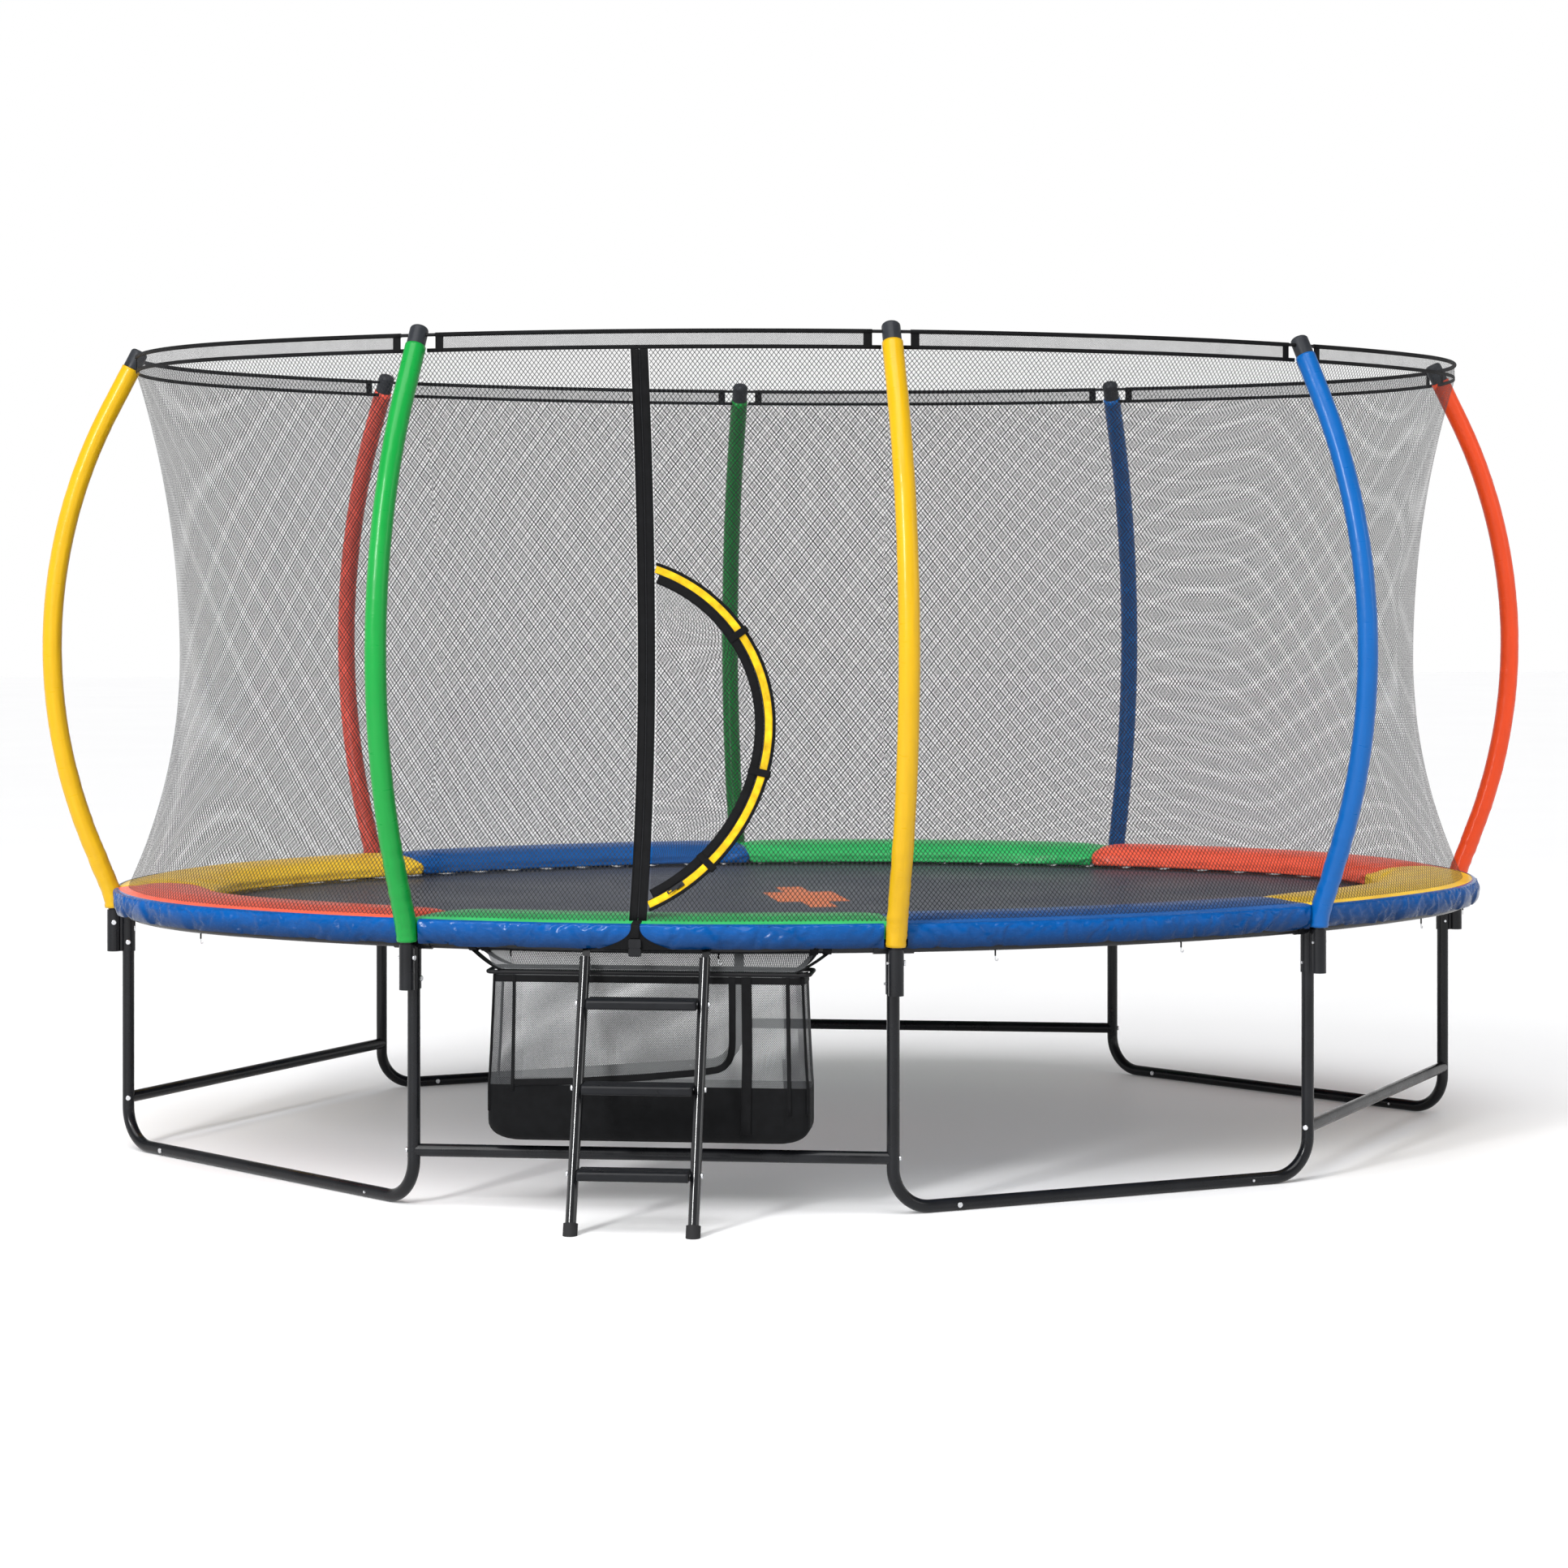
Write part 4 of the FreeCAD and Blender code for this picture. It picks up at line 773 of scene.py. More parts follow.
# %% Points on the door's net, and the line of the D
STRIP_ANGLE = 255 + math.degrees(-0.028 / SIDE_RADIUS)
STRIP_HALF = 0.029
DOOR_TOP, DOOR_WAIST, DOOR_BOTTOM, DOOR_WIDTH = 1.880, 1.420, 0.905, 0.350
ZIP_GAP = 0.002


def net_point(y, z, lift=0.0):
    """A point on the net, y metres across from the strip's middle, and lifted off the cloth."""
    out = net_out(z)
    turn = math.degrees(math.asin(y / (SIDE_RADIUS + out)))
    return station(STRIP_ANGLE + turn, out + lift, z)


def net_normal(y, z):
    outward = facing(STRIP_ANGLE + math.degrees(math.asin(y / SIDE_RADIUS)))[0]
    n = outward - np.array([0, 0, net_lean(z)])
    return n / np.linalg.norm(n)


def bow_across(z, grow=0.0):
    """How far across the D reaches at a height, its outline moved out by grow."""
    top, bottom, width = DOOR_TOP + grow, DOOR_BOTTOM - grow, DOOR_WIDTH + grow
    rise = (top - DOOR_WAIST) if z > DOOR_WAIST else (DOOR_WAIST - bottom)
    radius = (width ** 2 + rise ** 2) / (2 * width)
    inside = radius ** 2 - (z - DOOR_WAIST) ** 2
    return width - radius + math.sqrt(inside) if inside > 0 else -1.0


def bow_line(grow, left):
    """Points (y, z) down the D from the strip and back to it, evenly spaced."""
    heights = np.linspace(DOOR_BOTTOM - grow, DOOR_TOP + grow, 900)
    across = np.array([bow_across(z, grow) for z in heights])
    keep = across >= left
    line = np.stack([across[keep], heights[keep]], axis=1)[::-1]
    return at_distances(line, np.linspace(0, run_of(line)[-1], 110))


def on_net(flat, lift=0.0):
    """Points and normals on the net for a flat line of (across, up)."""
    return (np.array([net_point(y, z, lift) for y, z in flat]),
            np.array([net_normal(y, z) for y, z in flat]))


# %% The fixed net beside the door
BOW_WIDTH, EDGE_WIDTH = 0.032, 0.028


def net_between(name, rows, left, right, count):
    """A sheet of the door's net. left and right give its edges' places across at a height."""
    outward, loose = facing(STRIP_ANGLE)[0], np.sin(np.linspace(0, math.pi, count))
    sheet = []
    for k, z in enumerate(rows):
        row = np.array([net_point(y, z) for y in np.linspace(left(z), right(z), count)])
        sheet.append(ripple(row, outward, loose * math.sin(math.pi * (k + 0.5) / len(rows))))
    return rows_piece(name, sheet)


def pole_across(number):
    """A function that gives how far across a pole stands, at a height on the net."""
    turn = math.radians(LEG_ANGLES[number - 1] - STRIP_ANGLE)
    return lambda z: (SIDE_RADIUS + net_out(z)) * math.sin(turn)


def door_side(z):
    return max(STRIP_HALF, bow_across(z, BOW_WIDTH + ZIP_GAP / 2))


def lay_square(piece):
    """Set a net's UVs square to the panel, so that its knit runs on evenly past the door."""
    corners = np.array([piece.data.vertices[loop.vertex_index].co for loop in piece.data.loops])
    square = np.stack([corners @ facing(STRIP_ANGLE)[1], corners[:, 2]], axis=1)
    piece.data.uv_layers["metres"].data.foreach_set("uv", square.ravel())


door_rows = np.unique(np.concatenate([net_rows, np.linspace(0.874, 1.912, 70)]))
left_net = net_between("left", net_rows, pole_across(2), lambda z: -STRIP_HALF, 30)
right_net = net_between("right", door_rows, door_side, pole_across(3), 34)
lay_square(left_net)
lay_square(right_net)
door_net = dress(joined("net_beside_door", [left_net, right_net]), net_knit,
                 replaces=["net_door_panel"])

# %% The strip, its zip and the strap at its foot
ZIP_PITCH = 0.004


def net_tape(name, flat, lift, width, thickness, crown=0.0):
    """A tape that lies on the door's net along a flat line of (across, up)."""
    line, normals = on_net(flat, lift)
    return tape_piece(name, line, normals, width, thickness, crown)


rows = np.linspace(NET_FOOT[1] + 0.002, NET_HEAD[1], 70)
bands = [net_tape("band", [(y, z) for z in rows], lift, width, 0.0026)
         for y, lift, width in ((-0.0130, 0.0, 0.025), (0.0135, 0.0, 0.025),
                                (-0.0230, 0.0016, 0.005), (0.0235, 0.0016, 0.005))]
dress(joined("door_strip_webbing", bands), black_tape,
      replaces=["door_strip"])


def zip_teeth(flat, lift):
    """A coil zip closed: one fine ribbed cord along the gap."""
    line = on_net(flat, lift)[0]
    even = np.arange(0, run_of(line)[-1], ZIP_PITCH / 4)
    swell = 0.0012 + 0.0006 * np.abs(np.sin(even * math.pi / ZIP_PITCH))
    return tube_piece("teeth", at_distances(line, even), 0.0015, 6, squeeze=swell)


strip_rows = np.linspace(NET_FOOT[1] + 0.01, NET_HEAD[1], 80)
straight_zip = zip_teeth([(0.0004, z) for z in strip_rows], 0.0014)
bow_zip = zip_teeth(bow_line(0.0, STRIP_HALF + 0.001), 0.0006)
zip_coil = dress(joined("zip_coil", [straight_zip, bow_zip]), buckle_plastic)
print("zip coil:", len(zip_coil.data.polygons), "faces")

# %% The D on the net's side: yellow tape with black piping
bow = bow_line(ZIP_GAP / 2 + 0.0115, STRIP_HALF)
yellow_bow = net_tape("door_bow_yellow", bow, 0.0, 0.023, 0.0030)
dress(yellow_bow, yellow_tape, replaces=["door_bow"])
bow = bow_line(ZIP_GAP / 2 + 0.027, STRIP_HALF)
bow_piping = net_tape("door_bow_piping", bow, 0.0, 0.010, 0.0034)
dress(bow_piping, black_tape)
print("bow tapes: yellow", len(yellow_bow.data.polygons), "piping", len(bow_piping.data.polygons))

# %% [markdown]
# ## The flap
# The flap is the D of net that swings. Its own edge is black tape. Three black webbing loops are
# sewn to that tape and reach across the yellow one when the zip is shut. All of these ride on
# the door's body, so that they open with it about the straight side.

# %% Flap, edge tape and loops
edge_line = bow_line(-ZIP_GAP / 2 - EDGE_WIDTH / 2, STRIP_HALF + ZIP_GAP + 0.002)
edge_tape = net_tape("door_edge_webbing", edge_line, 0.0, EDGE_WIDTH - 0.001, 0.0030, 0.0006)
dress(edge_tape, black_tape, "door", replaces=["door_edge_tape"])
inner = -ZIP_GAP / 2 - EDGE_WIDTH
flap_line = bow_line(inner, STRIP_HALF + ZIP_GAP + 0.004)
flap_rows = np.linspace(flap_line[-1, 1], flap_line[0, 1], 80)
flap = net_between("door_flap_net", flap_rows, lambda z: STRIP_HALF + ZIP_GAP,
                   lambda z: max(bow_across(z, inner) + 0.002, STRIP_HALF + ZIP_GAP + 0.001), 24)
dress(flap, net_knit, "door", replaces=["door_flap"])
LOOP_INSET = 0.015


def strap_loop(height):
    """A webbing strap across the D: sewn to the edge tape, over the yellow tape, its end folded."""
    y = bow_across(height, -LOOP_INSET)
    ahead = unit(np.array([bow_across(height + 0.004, -LOOP_INSET) - y, 0.004]))
    cross = np.array([ahead[1], -ahead[0]])
    reach = [-0.0145, -0.012, -0.004, 0.006, 0.018, 0.032, 0.044, 0.05, 0.0518, 0.05, 0.042, 0.03]
    rise = [0.0026, 0.0034, 0.0036, 0.0044, 0.0052, 0.0054, 0.0054, 0.0054, 0.0043, 0.0032,
            0.003, 0.003]
    line = [net_point(y + cross[0] * r, height + cross[1] * r, h) for r, h in zip(reach, rise)]
    sideways = net_point(y + ahead[0] * 0.01, height + ahead[1] * 0.01) - net_point(y, height)
    turned = np.cross(np.gradient(line, axis=0), sideways)
    return tape_piece("loop", line, turned, 0.022, 0.0014)


loops = [strap_loop(height) for height in (1.680, 1.290, 1.040)]
dress(joined("door_loop_straps", loops), black_tape, "door",
      replaces=["door_loops"])
print("flap hinge stands at", [round(c, 3) for c in joints["door_swing"]["pos_m"]])

# %% [markdown]
# ## The padded ring
# Eight pads cover the springs, each in its bay's colour, and their ends meet at the poles. A pad
# is a crowned form: flat where it lies on the rail and the springs, round over the top, with a
# rounded nose at each end. Where a pole comes up, the pad is pushed aside to leave a round notch.

# %% The pad's section
PAD_OUT, PAD_IN, PAD_FOOT = 0.0435, -0.285, 0.8083
PAD_OUTER_TOP, PAD_CROWN, PAD_INNER_TOP = 0.8513, 0.8653, 0.8453


def pad_top(out):
    """The height of the pad's crowned top, this far out from the rail."""
    middle = (PAD_OUT + PAD_IN) / 2
    share = (out - middle) / ((PAD_OUT - PAD_IN) / 2)
    tilt = (PAD_OUTER_TOP + PAD_INNER_TOP) / 2 - PAD_CROWN
    return PAD_CROWN + tilt * share ** 2 + (PAD_OUTER_TOP - PAD_INNER_TOP) / 2 * share


def pad_section():
    """The pad's outline as (out, up), started at the middle of its underside."""
    loop = [(x, PAD_FOOT) for x in np.linspace(-0.12, PAD_OUT - 0.012, 8)]
    loop += [(PAD_OUT - 0.005, PAD_FOOT + 0.001), (PAD_OUT - 0.001, PAD_FOOT + 0.005)]
    loop += [(PAD_OUT, z) for z in np.linspace(PAD_FOOT + 0.012, PAD_OUTER_TOP - 0.014, 4)]
    loop += [(PAD_OUT - 0.001, PAD_OUTER_TOP - 0.006),
             (PAD_OUT - 0.005, pad_top(PAD_OUT - 0.005) - 0.002)]
    loop += [(x, pad_top(x)) for x in np.linspace(PAD_OUT - 0.014, PAD_IN + 0.014, 30)]
    loop += [(PAD_IN + 0.005, pad_top(PAD_IN + 0.005) - 0.002),
             (PAD_IN + 0.001, PAD_INNER_TOP - 0.006)]
    loop += [(PAD_IN, z) for z in np.linspace(PAD_INNER_TOP - 0.013, PAD_FOOT + 0.011, 3)]
    loop += [(PAD_IN + 0.001, PAD_FOOT + 0.005), (PAD_IN + 0.005, PAD_FOOT + 0.001)]
    loop += [(x, PAD_FOOT) for x in np.linspace(PAD_IN + 0.013, -0.14, 7)]
    return np.array(loop)


section = pad_section()
PAD_DROOP, DROOP_FROM, DROOP_LENGTH = 0.0080, -0.19, 0.095
PAD_MIDDLE = np.array([(PAD_OUT + PAD_IN) / 2, 0.832])
print("pad section:", len(section), "points")

# %% Pads with noses and notches
NOTCH, PAD_GAP, NOSE = 0.0335, 0.0012, 0.016


def pole_spot(z):
    """How far out the pole's middle stands at a height near the pads."""
    return np.interp(z, pole_line[:60, 1], pole_line[:60, 0])


def clear_of_pole(points, number):
    """Points pushed level out of the round room that a pole and its sleeve take."""
    angle = LEG_ANGLES[number - 1]
    gap = points - station(angle) - np.outer(pole_spot(points[:, 2]), facing(angle)[0])
    gap[:, 2] = 0
    share = NOTCH / np.maximum(np.linalg.norm(gap, axis=1), 1e-6)
    return points + gap * np.maximum(share - 1, 0)[:, None]


def clear_of_poles(points, bay):
    for number in (bay, bay % 8 + 1):
        points = clear_of_pole(points, number)
    return points


def pad_form(name, bay):
    """One bay's pad: the section carried along the rail, smaller at its noses, with notches."""
    angles, length = directions(*bay_span(bay, PAD_GAP), 0.011)
    run = np.linspace(0, length, len(angles))
    rings = []
    for angle, s in zip(angles, run):
        near = min(s, length - s)
        nose = math.sqrt(1 - (1 - min(near / NOSE, 1)) ** 2)
        shrink = np.array([1 - 0.035 * (1 - nose), 1 - 0.30 * (1 - nose)])
        shape = PAD_MIDDLE + (section - PAD_MIDDLE) * shrink
        shape[:, 1] = np.maximum(shape[:, 1], PAD_FOOT)
        shape[:, 1] -= PAD_DROOP * np.clip((DROOP_FROM - shape[:, 0]) / DROOP_LENGTH, 0, 1) ** 1.5
        rings.append([station(angle, x, z) for x, z in shape])
    rings = np.array(rings)
    flat = clear_of_poles(rings.reshape(-1, 3), bay)
    return grid_piece(name, flat.reshape(rings.shape), loop_v=True, cap=True)


pads = [pad_form("pad_%d" % bay, bay) for bay in range(1, 9)]
print("pads shaped:", len(pads), "with", sum(len(p.data.vertices) for p in pads), "points")

# %% [markdown]
# ### Foam and cloth settle
# The pad's cover is a little larger than its foam, so it is let go as cloth: held along its
# underside, blown up softly from within, with two per cent of spare cloth. What it moves is
# kept to a few millimetres, and nothing may sink below the pad's foot or into a pole's room.

# %% Let cloth go
SETTLE_FRAMES = 18
CLOTH_FEEL = {"quality": 4, "mass": 0.08, "tension_stiffness": 12, "compression_stiffness": 12,
              "shear_stiffness": 6, "bending_stiffness": 0.15, "air_damping": 3}


def points_of(mesh):
    flat = np.zeros(len(mesh.vertices) * 3, np.float32)
    mesh.vertices.foreach_get("co", flat)
    return flat.reshape(-1, 3).astype(float)


def put_points(mesh, points):
    mesh.vertices.foreach_set("co", points.ravel())
    mesh.update()


def settle(pieces, held, pressure, spare, limits):
    """Let each piece go as cloth from its held points, and keep the move within its limit."""
    for piece, pinned in zip(pieces, held):
        group = piece.vertex_groups.new(name="held")
        group.add([int(k) for k in pinned], 1.0, "REPLACE")
        cloth = piece.modifiers.new("settle", "CLOTH")
        for setting, value in CLOTH_FEEL.items():
            setattr(cloth.settings, setting, value)
        cloth.settings.use_pressure = pressure > 0
        cloth.settings.uniform_pressure_force = pressure
        cloth.settings.shrink_min = -spare
        cloth.settings.vertex_group_mass = "held"
        cloth.settings.effector_weights.gravity = 0.0
        cloth.collision_settings.use_collision = False
        cloth.point_cache.frame_start, cloth.point_cache.frame_end = 1, SETTLE_FRAMES
    for moment in range(1, SETTLE_FRAMES + 1):
        bpy.context.scene.frame_set(moment)
    graph = bpy.context.evaluated_depsgraph_get()
    ends = [points_of(piece.evaluated_get(graph).data) for piece in pieces]
    for piece, end, limit in zip(pieces, ends, limits):
        start = points_of(piece.data)
        move = end - start
        size = np.linalg.norm(move, axis=1)
        move *= np.minimum(1, limit / np.maximum(size, 1e-9))[:, None]
        piece.modifiers.clear()
        piece.vertex_groups.clear()
        put_points(piece.data, start + move)
        print(piece.name, "moved up to %.1f mm" % (1000 * np.minimum(size, limit).max()))
    bpy.context.scene.frame_set(1)


held, limits = [], []
for pad in pads:
    outs = np.tile(section[:, 0], len(pad.data.vertices) // len(section))
    held.append(np.where(points_of(pad.data)[:, 2] < PAD_FOOT + 0.002)[0])
    # the outer edge hardly moves, and from there inwards up to 7 mm
    limits.append(0.0004 + 0.0066 * np.clip((0.01 - outs) / 0.08, 0, 1))
settle(pads, held, pressure=2.2, spare=0.02, limits=limits)
for bay, pad in enumerate(pads, 1):
    kept = clear_of_poles(points_of(pad.data), bay)
    kept[:, 2] = np.maximum(kept[:, 2], PAD_FOOT - PAD_DROOP)
    put_points(pad.data, kept)
print("pads settled:", len(pads))

# %% Dress the pads
for pad, colour in zip(pads, list(PAD_COLOURS) * 2):
    dress(pad, pad_skin[colour], replaces=["pads_" + colour])
print("pads dressed:", [pad.material_slots[0].name for pad in pads[:4]])

# %% [markdown]
# ## The skirt
# A blue skirt hangs from the pads' outer edge past the rail. It is thin glossy vinyl with no
# foam. It too is let go as cloth with spare length, held along its fold, at its foot ties and
# beside each pole, so it buckles between them. Beside the door it stays flat under the flared
# cloth.

# %% Skirt panels
SKIRT_FOOT, SKIRT_TOP, SKIRT_OUT, SKIRT_GAP = 0.7825, 0.8500, 0.0452, 0.0345
skirt_side = np.array([
    (0.0, -0.0070), (0.04, -0.0052), (0.10, -0.0026), (0.17, -0.0004), (0.25, 0.0012),
    (0.33, 0.0024), (0.41, 0.0034), (0.49, 0.0043), (0.57, 0.0050), (0.65, 0.0054), (0.73, 0.0053),
    (0.80, 0.0047), (0.87, 0.0035), (0.93, 0.0020), (0.97, 0.0006), (1.0, -0.0018)])
skirt_lap = [(0.0398, 0.0006), (0.036, 0.0009), (0.031, 0.0010)]
skirt_plan = []  # for each panel: outward directions, rail points, how loose, distance along
TIE_PITCH = 0.21
RAIL_ROOM, LOW_ROOM, LOW_UNDER = 0.0444, 0.0330, 0.806


def skirt_panel(name, bay):
    """One bay's skirt: folded over the pad's edge, bellied like a roll, turned in below."""
    angles, length = directions(*bay_span(bay, SKIRT_GAP), 0.0065)
    run = np.linspace(0, length, len(angles))
    near = np.minimum(run, length - run)
    strap = np.radians(np.abs(angles - STRIP_ANGLE)) * SIDE_RADIUS
    calm = (1 - np.exp(-(strap / 0.12) ** 2)) * (1 - 0.6 * np.exp(-near / 0.03))
    heights = SKIRT_FOOT + (SKIRT_TOP - SKIRT_FOOT) * skirt_side[:, 0]
    columns = []
    for k, angle in enumerate(angles):
        fold = np.sin(2 * math.pi * (near[k] * 19 + skirt_side[:, 0] * 1.1) + bay)
        fold *= math.exp(-near[k] / 0.10)
        outs = SKIRT_OUT + skirt_side[:, 1] * np.where(skirt_side[:, 1] > 0, calm[k], 1)
        outs = outs + 0.0022 * fold * (1 - 0.6 * skirt_side[:, 0]) * min(1, strap[k] / 0.1)
        column = [station(angle, o, z) for o, z in zip(outs, heights)]
        column += [station(angle, o, pad_top(min(o, 0.0375)) + rise) for o, rise in skirt_lap]
        columns.append(column)
    columns = np.array(columns)
    side = columns[:, :len(heights)]
    flat = side.reshape(-1, 3)
    outward = np.array([facing(t)[0] for t in angles])
    drag = wavy(flat * [1, 1, 2.4], 0.10, 3) * 0.0013 * np.repeat(calm, len(heights))
    side += outward[:, None, :] * drag.reshape(len(angles), len(heights), 1)
    skirt_plan.append((outward, np.array([station(t) for t in angles]), calm, run))
    return grid_piece(name, columns)


skirts = [skirt_panel("skirt_%d" % bay, bay) for bay in range(1, 9)]
high = len(skirt_side) + len(skirt_lap)
held, limits = [], []
for outward, bases, calm, run in skirt_plan:
    row = np.tile(np.arange(high), len(run))
    along_run = np.repeat(run, high)
    tied = (row < 2) & (np.abs(np.mod(along_run, TIE_PITCH) - TIE_PITCH / 2) < 0.011)
    ends = (along_run < 0.004) | (along_run > run[-1] - 0.004)
    held.append(np.where((row >= len(skirt_side) - 1) | tied | ends)[0])
    limits.append(0.0003 + 0.0060 * np.repeat(calm, high))
settle(skirts, held, pressure=0.0, spare=0.045, limits=limits)
for piece, (outward, bases, calm, run) in zip(skirts, skirt_plan):
    kept = points_of(piece.data).reshape(len(run), high, 3)
    outs = np.einsum("kij,kj->ki", kept - bases[:, None, :], outward)
    room = np.where(kept[:, :, 2] > LOW_UNDER, RAIL_ROOM, LOW_ROOM)
    room[:, len(skirt_side) - 1:] = 0
    kept += np.maximum(room - outs, 0)[:, :, None] * outward[:, None, :]
    put_points(piece.data, kept)
skirt = dress(joined("skirt_vinyl", skirts), skirt_skin, replaces=["pad_skirt"])
print("skirt:", len(skirt.data.polygons), "faces")

# %% [markdown]
# ## The jumping mat
# The mat is a close black weave, flat and tight, with wide webbing sewn under its edge. Both
# ride on the mat's own body, so they go down when someone lands.

# %% Mat and edge webbing
MAT_OUT, MAT_TOP, MAT_THICK = -0.200, 0.7895, 0.003


def oval_rings(outs, heights):
    """Closed loops round the oval, one for each (out, up)."""
    turns = directions(180, 540, 0.03)[0][:-1]
    return np.array([[station(t, o, z) for t in turns] for o, z in zip(outs, heights)])


rim = oval_rings([MAT_OUT], [MAT_TOP])[0]
layers = []
for share in np.linspace(0.02, 1, 40):
    top = rim * [share, share, 1]
    top[:, 2] = MAT_TOP - 0.0012 * np.abs(wavy(top, 0.5)) * (1 - share ** 6)
    layers.append(top)
under = [layer - [0, 0, MAT_THICK] for layer in layers[::-1]]
mat = grid_piece("mat_weave", layers + under, loop_v=True, cap=True)
dress(mat, mat_cloth, "mat_body", replaces=["mat"])

edge_half, edge_middle, edge_up = 0.0225, -0.2225, 0.7849
upper = [(-1, 0), (-0.9, 1), (-0.4, 1), (0.4, 1), (0.9, 1)]
around = upper + [(-a, -r) for a, r in upper]
loops = oval_rings([edge_middle + edge_half * a for a, r in around],
                   [edge_up + 0.0015 * r for a, r in around])
edge = rows_piece("mat_edge_webbing", loops, loop_u=True, loop_v=True)
dress(edge, wide_tape, "mat_body", replaces=["mat_edge"])
print("mat: %d faces, edge webbing: %d faces" % (len(mat.data.polygons), len(edge.data.polygons)))

# %% [markdown]
# ## Springs
# Eighty close-wound springs stretch from the rail to the rings. Each is a real coil of 4 mm
# wire whose ends run into plain hooks. They hang between two bodies: the rail end stays, and
# the mat end goes down with the mat. Each pair is made as one object, attached to neither body.

# %% Coils
SPRING_START, SPRING_END = -0.0193, -0.1674
SPRING_UP, COIL_RADIUS, COIL_PITCH, WIRE = 0.788, 0.0075, 0.0045, 0.0019


def spring_directions(bay):
    """The directions of one bay's ten springs, evenly spaced along the rail."""
    fine, length = directions(LEG_ANGLES[bay - 1], LEG_ANGLES[bay], 0.002)
    run = np.linspace(0, length, len(fine))
    return np.interp([length * (k + 0.5) / 10 for k in range(10)], run, fine)


def coil_line(angle):
    """The wire's middle line: a straight hook, the coil and a straight hook."""
    out, along = facing(angle)
    up = np.array([0, 0, 1.0])
    base = station(angle, 0, SPRING_UP)
    points = [base + out * x for x in np.linspace(SPRING_START, SPRING_START - 0.012, 3)]
    first, last = SPRING_START - 0.015, SPRING_END + 0.015
    turns = int((first - last) / COIL_PITCH)
    for t in np.linspace(0, 2 * math.pi * turns, turns * 10 + 1):
        x = first + (last - first) * t / (2 * math.pi * turns)
        points.append(base + out * x + (along * math.cos(t) + up * math.sin(t)) * COIL_RADIUS)
    points += [base + out * x for x in np.linspace(SPRING_END + 0.012, SPRING_END, 3)]
    return np.array(points)


pairs = []
for bay in range(1, 9):
    turns = spring_directions(bay)
    for k in range(0, 10, 2):
        coils = [tube_piece("coil", coil_line(t), WIRE, 6) for t in turns[k:k + 2]]
        pair = joined("spring_pair_%d_%d" % (bay, k // 2 + 1), coils)
        dress(pair, spring_wire, None, replaces=["springs"])
        middle = (turns[k] + turns[k + 1]) / 2
        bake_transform(pair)
        pairs.append(pair)
print("springs wound:", 2 * len(pairs), "on", len(pairs), "objects")

# %% [markdown]
# ## The ladder's treads
# The rails, hooks and boots stay as they were drawn. The treads are moulded plastic with rounded
# edges and six grip ribs along the top, so each is drawn as a side view and carried across.

# %% Treads with grip ribs
LADDER_ANGLE = 255.0
LADDER_HEAD, LADDER_LEAN = (0.0329, 0.7978), 19.2
TREAD_HALF, RIB = 0.1585, 0.0011


def ladder_out(height):
    """How far out the ladder's middle line stands at a height."""
    return LADDER_HEAD[0] + (LADDER_HEAD[1] - height) * math.tan(math.radians(LADDER_LEAN))


def arc(x, y, radius, start, end, count):
    """Points on an arc about (x, y), from one direction to another in degrees."""
    turns = np.radians(np.linspace(start, end, count))
    return [(x + radius * math.cos(a), y + radius * math.sin(a)) for a in turns]


def tread_outline():
    """The tread's side view about its middle: rounded ends, ribs on top and a flat below."""
    half, t, r = 0.048, 0.014, 0.009
    loop = []
    for x, z, start in ((half - r, t - r, 90), (half - r, r - t, 0),
                        (r - half, r - t, -90), (r - half, t - r, -180)):
        loop += arc(x, z, r, start, start - 90, 7)
    for x in np.linspace(-0.030, 0.030, 6):
        loop += [(x - 0.0028, t), (x - 0.0020, t + RIB), (x + 0.0020, t + RIB), (x + 0.0028, t)]
    return np.array(loop)


tread_side = tread_outline()
stops = np.array([-TREAD_HALF, 0.002 - TREAD_HALF, *np.linspace(-0.15, 0.15, 9),
                  TREAD_HALF - 0.002, TREAD_HALF])
treads = []
for height in (0.630, 0.397, 0.165):
    rings = []
    for y in stops:
        side = tread_side * (0.975 if abs(y) == TREAD_HALF else 1.0)
        rings.append([local_point(LADDER_ANGLE, ladder_out(height) + x, y, height + z)
                      for x, z in side])
    treads.append(grid_piece("tread", rings, loop_v=True, cap=True))
tread_set = dress(joined("ladder_tread_mouldings", treads), tread_plastic, "ladder",
                  replaces=["ladder_treads"])
print("treads:", len(tread_set.data.polygons), "faces")

# %% [markdown]
# ## The storage bag
# A long bag hangs from the rail behind the ladder. Its body is grey mesh bound with black piping,
# on a deep black base with round lower corners. It hangs from a rod sewn into its rim, so it is
# drawn in a little at the top and at mid height, and it bellies out where the base begins.

# %% The bag's walls
BAG_FRONT, BAG_BACK, BAG_TOP, BAG_FOOT, BAG_BASE = -0.0055, -0.1595, 0.7000, 0.2125, 0.3780
BAG_HALF, BAG_ROUND, BAG_POINTS = 0.4745, 0.024, 208
BAG_MIDDLE = (BAG_FRONT + BAG_BACK) / 2
END_CUT = 0.398
BASE_ROUND, BASE_SHORTER, BASE_NARROWER = 0.060, 0.085, 0.026


def bag_loop(half, front, back):
    """One level loop round the bag, with round corners and evenly spaced points."""
    r = BAG_ROUND
    flat = []
    for x, y, start in ((front - r, half - r, 0), (back + r, half - r, 90),
                        (back + r, r - half, 180), (front - r, r - half, 270)):
        flat += arc(x, y, r, start, start + 90, 6)
    flat.append(flat[0])
    return at_distances(flat, np.linspace(0, run_of(flat)[-1], BAG_POINTS + 1)[:-1])


